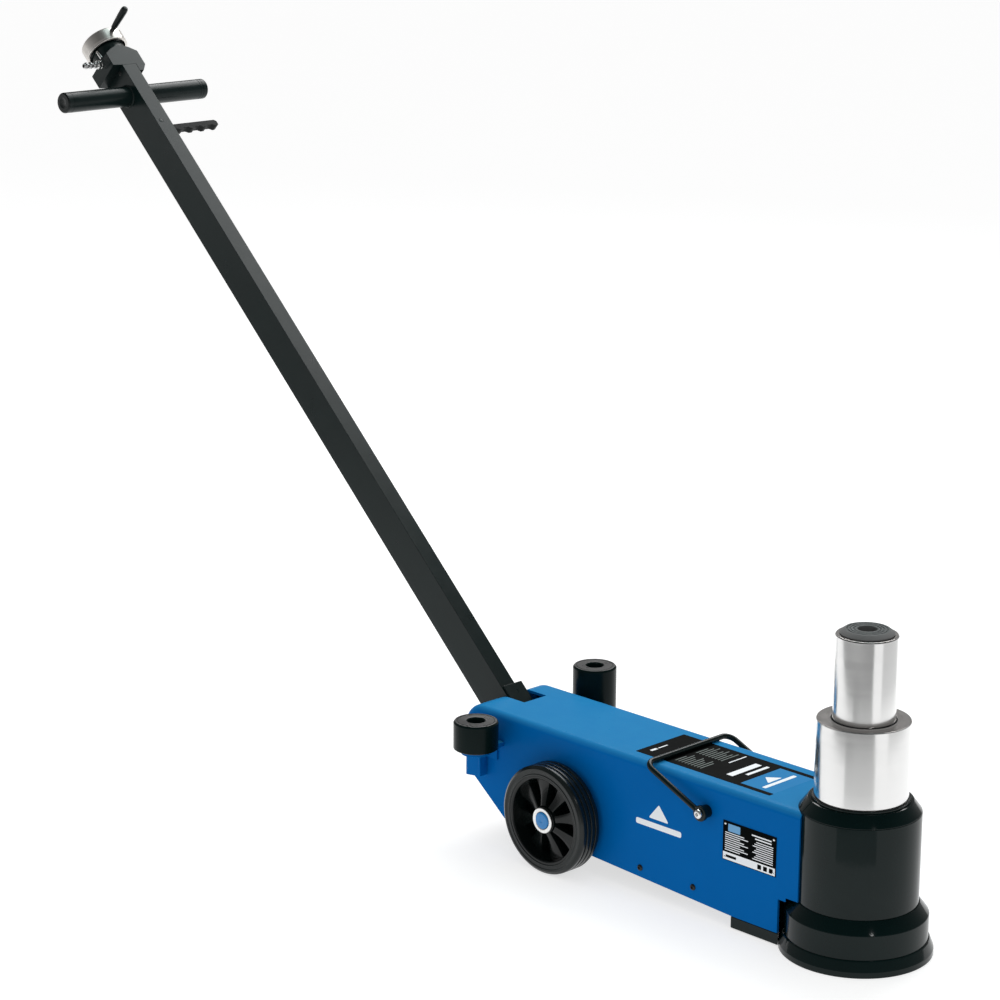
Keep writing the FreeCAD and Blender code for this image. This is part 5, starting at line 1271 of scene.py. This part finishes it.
    def inlet(self) -> None:
        """Ribbed quick-connect nipple with a chamfered hexagon and a washer."""
        at = self.along(3, -30.1, 1260, (0, -1, 0))
        hexagon = [(7.6 * math.cos(math.radians(60 * k)),
                    7.6 * math.sin(math.radians(60 * k))) for k in range(6)]
        nut = Stock().slab(in_mm(hexagon), 0.0006, 0.0064, at)
        nut.turn(rounded(in_mm([(4.26, 0), (7.4, 0), (7.4, 0.8), (7.0, 1.3), (4.26, 1.3)]), {2: 0.0003}, 2),
                 at, 48)
        nut.turn(rounded(in_mm([(4.26, 6.2), (6.4, 6.2), (6.4, 7.2), (5.8, 8.0), (4.26, 8.0)]), {3: 0.0005},
                         3), at, 48)
        nut.piece("inlet_hexagon", "handle", [ZINC], ["inlet_nut"], bevel=0.0006, slot="bright_steel")
        points = [(2.6, 0.1), (4.15, 0.1), (4.15, 9.6)]
        for low in (10.2, 18.2, 26.2):
            points += [(4.5, low - 0.2), (5.35, low + 0.8), (5.35, low + 2.6), (4.3, low + 4.4),
                       (3.8, low + 5.2)]
        points += [(3.7, 32.4), (3.4, 32.8), (2.6, 32.8)]
        Stock().turn(rounded(in_mm(points), {k: 0.0004 for k in range(3, len(points) - 1)}, 3), at, 56).piece(
            "ribbed_nipple", "handle", [NIPPLE_STEEL], ["inlet_nipple"], slot="bright_steel")

    def control(self) -> None:
        """Turned control ring with a fine groove, and its black lever on a steel stalk."""
        low, top = 1285.3, 1309.3
        points = [(20.1, low + 9), (31.0, low + 9), (31.0, low), (34.2, low), (34.95, low + 0.8),
                  (34.95, low + 3.2),
                  (34.6, low + 3.6), (34.95, low + 4.0), (34.95, top - 3.4), (31.5, top - 0.3), (26.0, top),
                  (0, top),
                  (0, top - 4), (20.1, top - 4)]
        # The inside of the ring's recess is painted black: painted shade.
        Stock().turn(rounded(in_mm(points), {2: 0.0004, 3: 0.0006, 8: 0.0018, 9: 0.0014, 10: 0.002}, 5),
                     self.place,
                     144).piece("turned_ring", "control", [KNOB_ALLOY, BLACK_PLASTIC], ["control_ring"],
                                slot="knob_alloy", paint=self.in_shaded_recess)
        at = self.along(0, 0, low + 15, (1, 0, 0))
        stalk = Stock().turn(in_mm([(0, 35.05), (3.4, 35.05), (3.4, 44), (0, 44)]), at, 32, slot=1)
        stalk.turn(rounded(in_mm([(0, 40.2), (3.9, 40.2), (4.4, 42), (4.9, 50), (5.6, 70), (5.7, 80),
                                  (5.2, 84.6),
                                  (3.8, 87.2), (0, 87.9)]), {2: 0.001, 5: 0.003, 6: 0.003, 7: 0.0016}, 5), at,
                   48)
        stalk.piece("ring_lever", "control", [BLACK_PLASTIC, DARK_STEEL], ["control_lever"],
                    slot="frame_black")

    def in_shaded_recess(self, face: bmesh.types.BMFace) -> int:
        """Tell the inside of the control ring's recess, painted black as shade, from its turned outside."""
        spot = self.place.inverted() @ face.calc_center_median()
        return int(math.hypot(spot.x, spot.y) < 0.0311 and spot.z < 1.3)


# ------------------------------------------------------------------ inside the cover
@dataclass
class Inside:
    """Pump block, air motor, tank, pipes and the handle's pivot parts."""

    def build(self) -> None:
        """Make the pieces behind the cover."""
        for node, name, finish, slot, edge in (
                ("pump_block", "valve_block", CAST_ENAMEL, "cast_black", 0.0014),
                ("oil_tank", "tank_shell", TANK_PAINT, "tank_grey", 0.0016),
                ("air_motor", "motor_barrel", MOTOR_ALLOY, "motor_alloy", 0.0008),
                ("air_piston", "motor_plunger", MOTOR_ALLOY, "motor_alloy", 0.0005),
                ("lock_sector", "notched_sector", BLACK_ENAMEL, "frame_black", 0.0006),
                ("pivot_bosses", "pivot_bearings", BLACK_ENAMEL, "frame_black", 0.001),
                ("pivot_pin", "pivot_shaft", DARK_STEEL, "dark_steel", 0.0008),
                ("hose_union", "banjo_union", BRASS, "brass", 0.0006),
                ("filler_plug", "tank_plug", BRASS, "brass", 0.0006)):
            body = "motor_piston" if node == "air_piston" else "chassis"
            Stock().trace(node).piece(name, body, [finish], [node], bevel=edge, slot=slot)
        dress("oil_pipe", ZINC)
        dress("cover_hose", HOSE)
        bolts = Stock()
        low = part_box("air_motor")[0]
        for k in range(6):
            angle = math.radians(60 * k + 30)
            at = upright((low.x, 0.029 * math.cos(angle), 0.075 + 0.029 * math.sin(angle)), (-1, 0, 0))
            Chassis.button(bolts, at, 4.0, 3.0, 2.0)
        bolts.piece("motor_screws", "chassis", [ZINC])


# ------------------------------------------------------------------ studio
@dataclass
class Studio:
    """Pale floor, soft light and the camera."""

    eye: tuple[float, float, float] = (2.2458, -2.8613, 1.5589)
    yaw: float = 45.39
    pitch: float = 14.90
    roll: float = 0.32
    lens: float = 106.70
    shift: tuple[float, float] = (-0.00724, 0.00424)
    board_height: float = 0.002

    def build(self) -> None:
        """Set the stage."""
        self.camera()
        self.floor()
        self.lights()
        self.sky()
        view = bpy.context.scene.view_settings
        view.view_transform = "Standard"
        view.look = "None"
        view.exposure = 0.0

    def camera(self) -> None:
        """Place the camera by its eye point and its three angles."""
        data = bpy.data.cameras.new("camera")
        data.lens = self.lens
        data.sensor_width = 36.0
        data.shift_x, data.shift_y = self.shift
        data.clip_end = 60.0
        yaw, pitch, roll = (math.radians(v) for v in (self.yaw, self.pitch, self.roll))
        ahead = Vector((-math.sin(yaw) * math.cos(pitch), math.cos(yaw) * math.cos(pitch), -math.sin(pitch)))
        right = Vector((math.cos(yaw), math.sin(yaw), 0.0))
        up = right.cross(ahead)
        side = right * math.cos(roll) + up * math.sin(roll)
        top = up * math.cos(roll) - right * math.sin(roll)
        made = bpy.data.objects.new("camera", data)
        made.matrix_world = Matrix.Translation(Vector(self.eye)) @ Matrix(
            (side, top, -ahead)).transposed().to_4x4()
        bpy.context.scene.collection.objects.link(made)
        bpy.context.scene.camera = made

    def floor(self) -> None:
        """Lay a wide pale floor, with dark and grey boards on it that the chrome mirrors."""
        half = 40.0
        self.board("floor", [(-half, -half), (half, -half), (half, half), (-half, half)], 0.0, 0.5, 0.66)
        near = [self.around(1.25, a) for a in (-67, -56, -45, -35, -25)]
        self.board("dark_board", [(-6.0, -1.15), *near, self.around(4.2, -25), (3.8, -2.7), (-6.0, -2.7)],
                   self.board_height,
                   0.36, 0.05)
        self.board("grey_board", [self.around(1.24, a) for a in (-92, -80, -68, -56, -44, -32, -22)]
                   + [self.around(0.68, a) for a in (-22, -32, -44, -56, -68, -80, -92)], self.board_height,
                   0.5, 0.19)
        self.board("side_board", [self.around(1.2, a) for a in (8, 24, 40, 56, 72, 86)]
                   + [self.around(3.6, a) for a in (86, 46, 8)], self.board_height, 0.5, 0.24)

    @staticmethod
    def around(radius: float, angle: float) -> tuple[float, float]:
        """Give a floor point by its distance from the ram and its angle in degrees."""
        turn = math.radians(angle)
        return radius * math.cos(turn), radius * math.sin(turn)

    @staticmethod
    def board(name: str, outline: Sequence[tuple[float, float]], height: float, shade: float,
              glow: float) -> None:
        """Lay a flat board; one that is raised off the floor isn't seen itself, only mirrored.

        Args:
            name: The board's name.
            outline: Its corners.
            height: Its height.
            shade: Its grey.
            glow: Light that it gives off.
        """
        mesh = bpy.data.meshes.new(name)
        mesh.from_pydata([(x, y, height) for x, y in outline], [], [list(range(len(outline)))])
        made = bpy.data.objects.new(name, mesh)
        paper = Finish("paper_" + name, (shade, shade, shade), (0.8, 0.9), specular=0.05, tint=0.004,
                       patch=2.0,
                       grain_depth=0.0).material()
        paper.node_tree.nodes["Principled BSDF"].inputs["Emission Color"].default_value = (1.0, 1.0, 1.0, 1.0)
        paper.node_tree.nodes["Principled BSDF"].inputs["Emission Strength"].default_value = glow
        mesh.materials.append(paper)
        made.visible_camera = height == 0.0
        bpy.context.scene.collection.objects.link(made)

    def lights(self) -> None:
        """Hang large soft boxes, and one small lamp for the glints."""
        aim = Vector((-0.6, 0.0, 0.3))
        for name, at, width, height, glow, colour in (
                ("back_box", (-1.78, 2.3, 3.05), 3.0, 1.7, 5.6, (1.0, 1.0, 1.0)),
                ("top_box", (-0.7, 0.9, 3.6), 2.4, 1.8, 1.3, (0.8, 1.0, 1.0)),
                ("glint_lamp", (2.0, -0.8, 2.3), 0.18, 0.18, 26.0, (1.0, 1.0, 1.0))):
            data = bpy.data.lights.new(name, "AREA")
            data.shape = "RECTANGLE"
            data.size, data.size_y, data.color = width, height, colour
            data.energy = glow * math.pi * width * height
            made = bpy.data.objects.new(name, data)
            made.location = at
            made.rotation_euler = (aim - Vector(at)).to_track_quat("-Z", "Y").to_euler()
            bpy.context.scene.collection.objects.link(made)

    def sky(self) -> None:
        """Even light from all round, dim where it is mirrored, in front of a plain backdrop."""
        world = bpy.data.worlds.new("studio")
        bpy.context.scene.world = world
        world.use_nodes = True
        tree = world.node_tree
        tree.nodes.clear()
        place = tree.nodes.new("ShaderNodeTexCoord")
        split = tree.nodes.new("ShaderNodeSeparateXYZ")
        tree.links.new(place.outputs["Generated"], split.inputs[0])
        rise = tree.nodes.new("ShaderNodeMapRange")
        rise.inputs["From Min"].default_value = 0.1
        rise.inputs["From Max"].default_value = 0.75
        rise.inputs["To Min"].default_value = 0.42
        rise.inputs["To Max"].default_value = 0.06
        tree.links.new(split.outputs[2], rise.inputs["Value"])
        ray = tree.nodes.new("ShaderNodeLightPath")
        shader: bpy.types.NodeSocket | None = None
        for share, strength in ((None, rise.outputs["Result"]), (ray.outputs["Is Diffuse Ray"], 0.82),
                                (ray.outputs["Is Camera Ray"], 1.0)):
            light = tree.nodes.new("ShaderNodeBackground")
            if isinstance(strength, float):
                light.inputs["Strength"].default_value = strength
            else:
                tree.links.new(strength, light.inputs["Strength"])
            if share is None:
                shader = light.outputs[0]
                continue
            pick = tree.nodes.new("ShaderNodeMixShader")
            tree.links.new(share, pick.inputs[0])
            tree.links.new(shader, pick.inputs[1])
            tree.links.new(light.outputs[0], pick.inputs[2])
            shader = pick.outputs[0]
        out = tree.nodes.new("ShaderNodeOutputWorld")
        tree.links.new(shader, out.inputs["Surface"])


def handle_place(joints: Sequence[dict]) -> Matrix:
    """Work out the handle's frame from its pivot and the direction that its lock slides in.

    Args:
        joints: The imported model's joints.

    Returns:
        The matrix from the handle's own frame to the model's.
    """
    named = {joint["name"]: joint for joint in joints}
    length = Vector(named["lock_slide"]["axis"]).normalized()
    across = Vector((0, 1, 0))
    front = across.cross(length)
    return Matrix.Translation(Vector(named["handle_pivot"]["pos_m"])) @ Matrix(
        (front, across, length)).transposed().to_4x4()


def main() -> None:
    """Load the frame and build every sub-assembly in order."""
    logging.basicConfig(level=logging.INFO, format="%(message)s")
    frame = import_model()
    Stock.nodes = frame["nodes"]
    Studio().build()
    HydraulicUnit().build()
    Chassis().build()
    RunningGear().build()
    CarryingBail().build()
    HeightAdapters().build()
    Handle(handle_place(frame["joints"])).build()
    Inside().build()


if __name__ == "__main__":
    main()
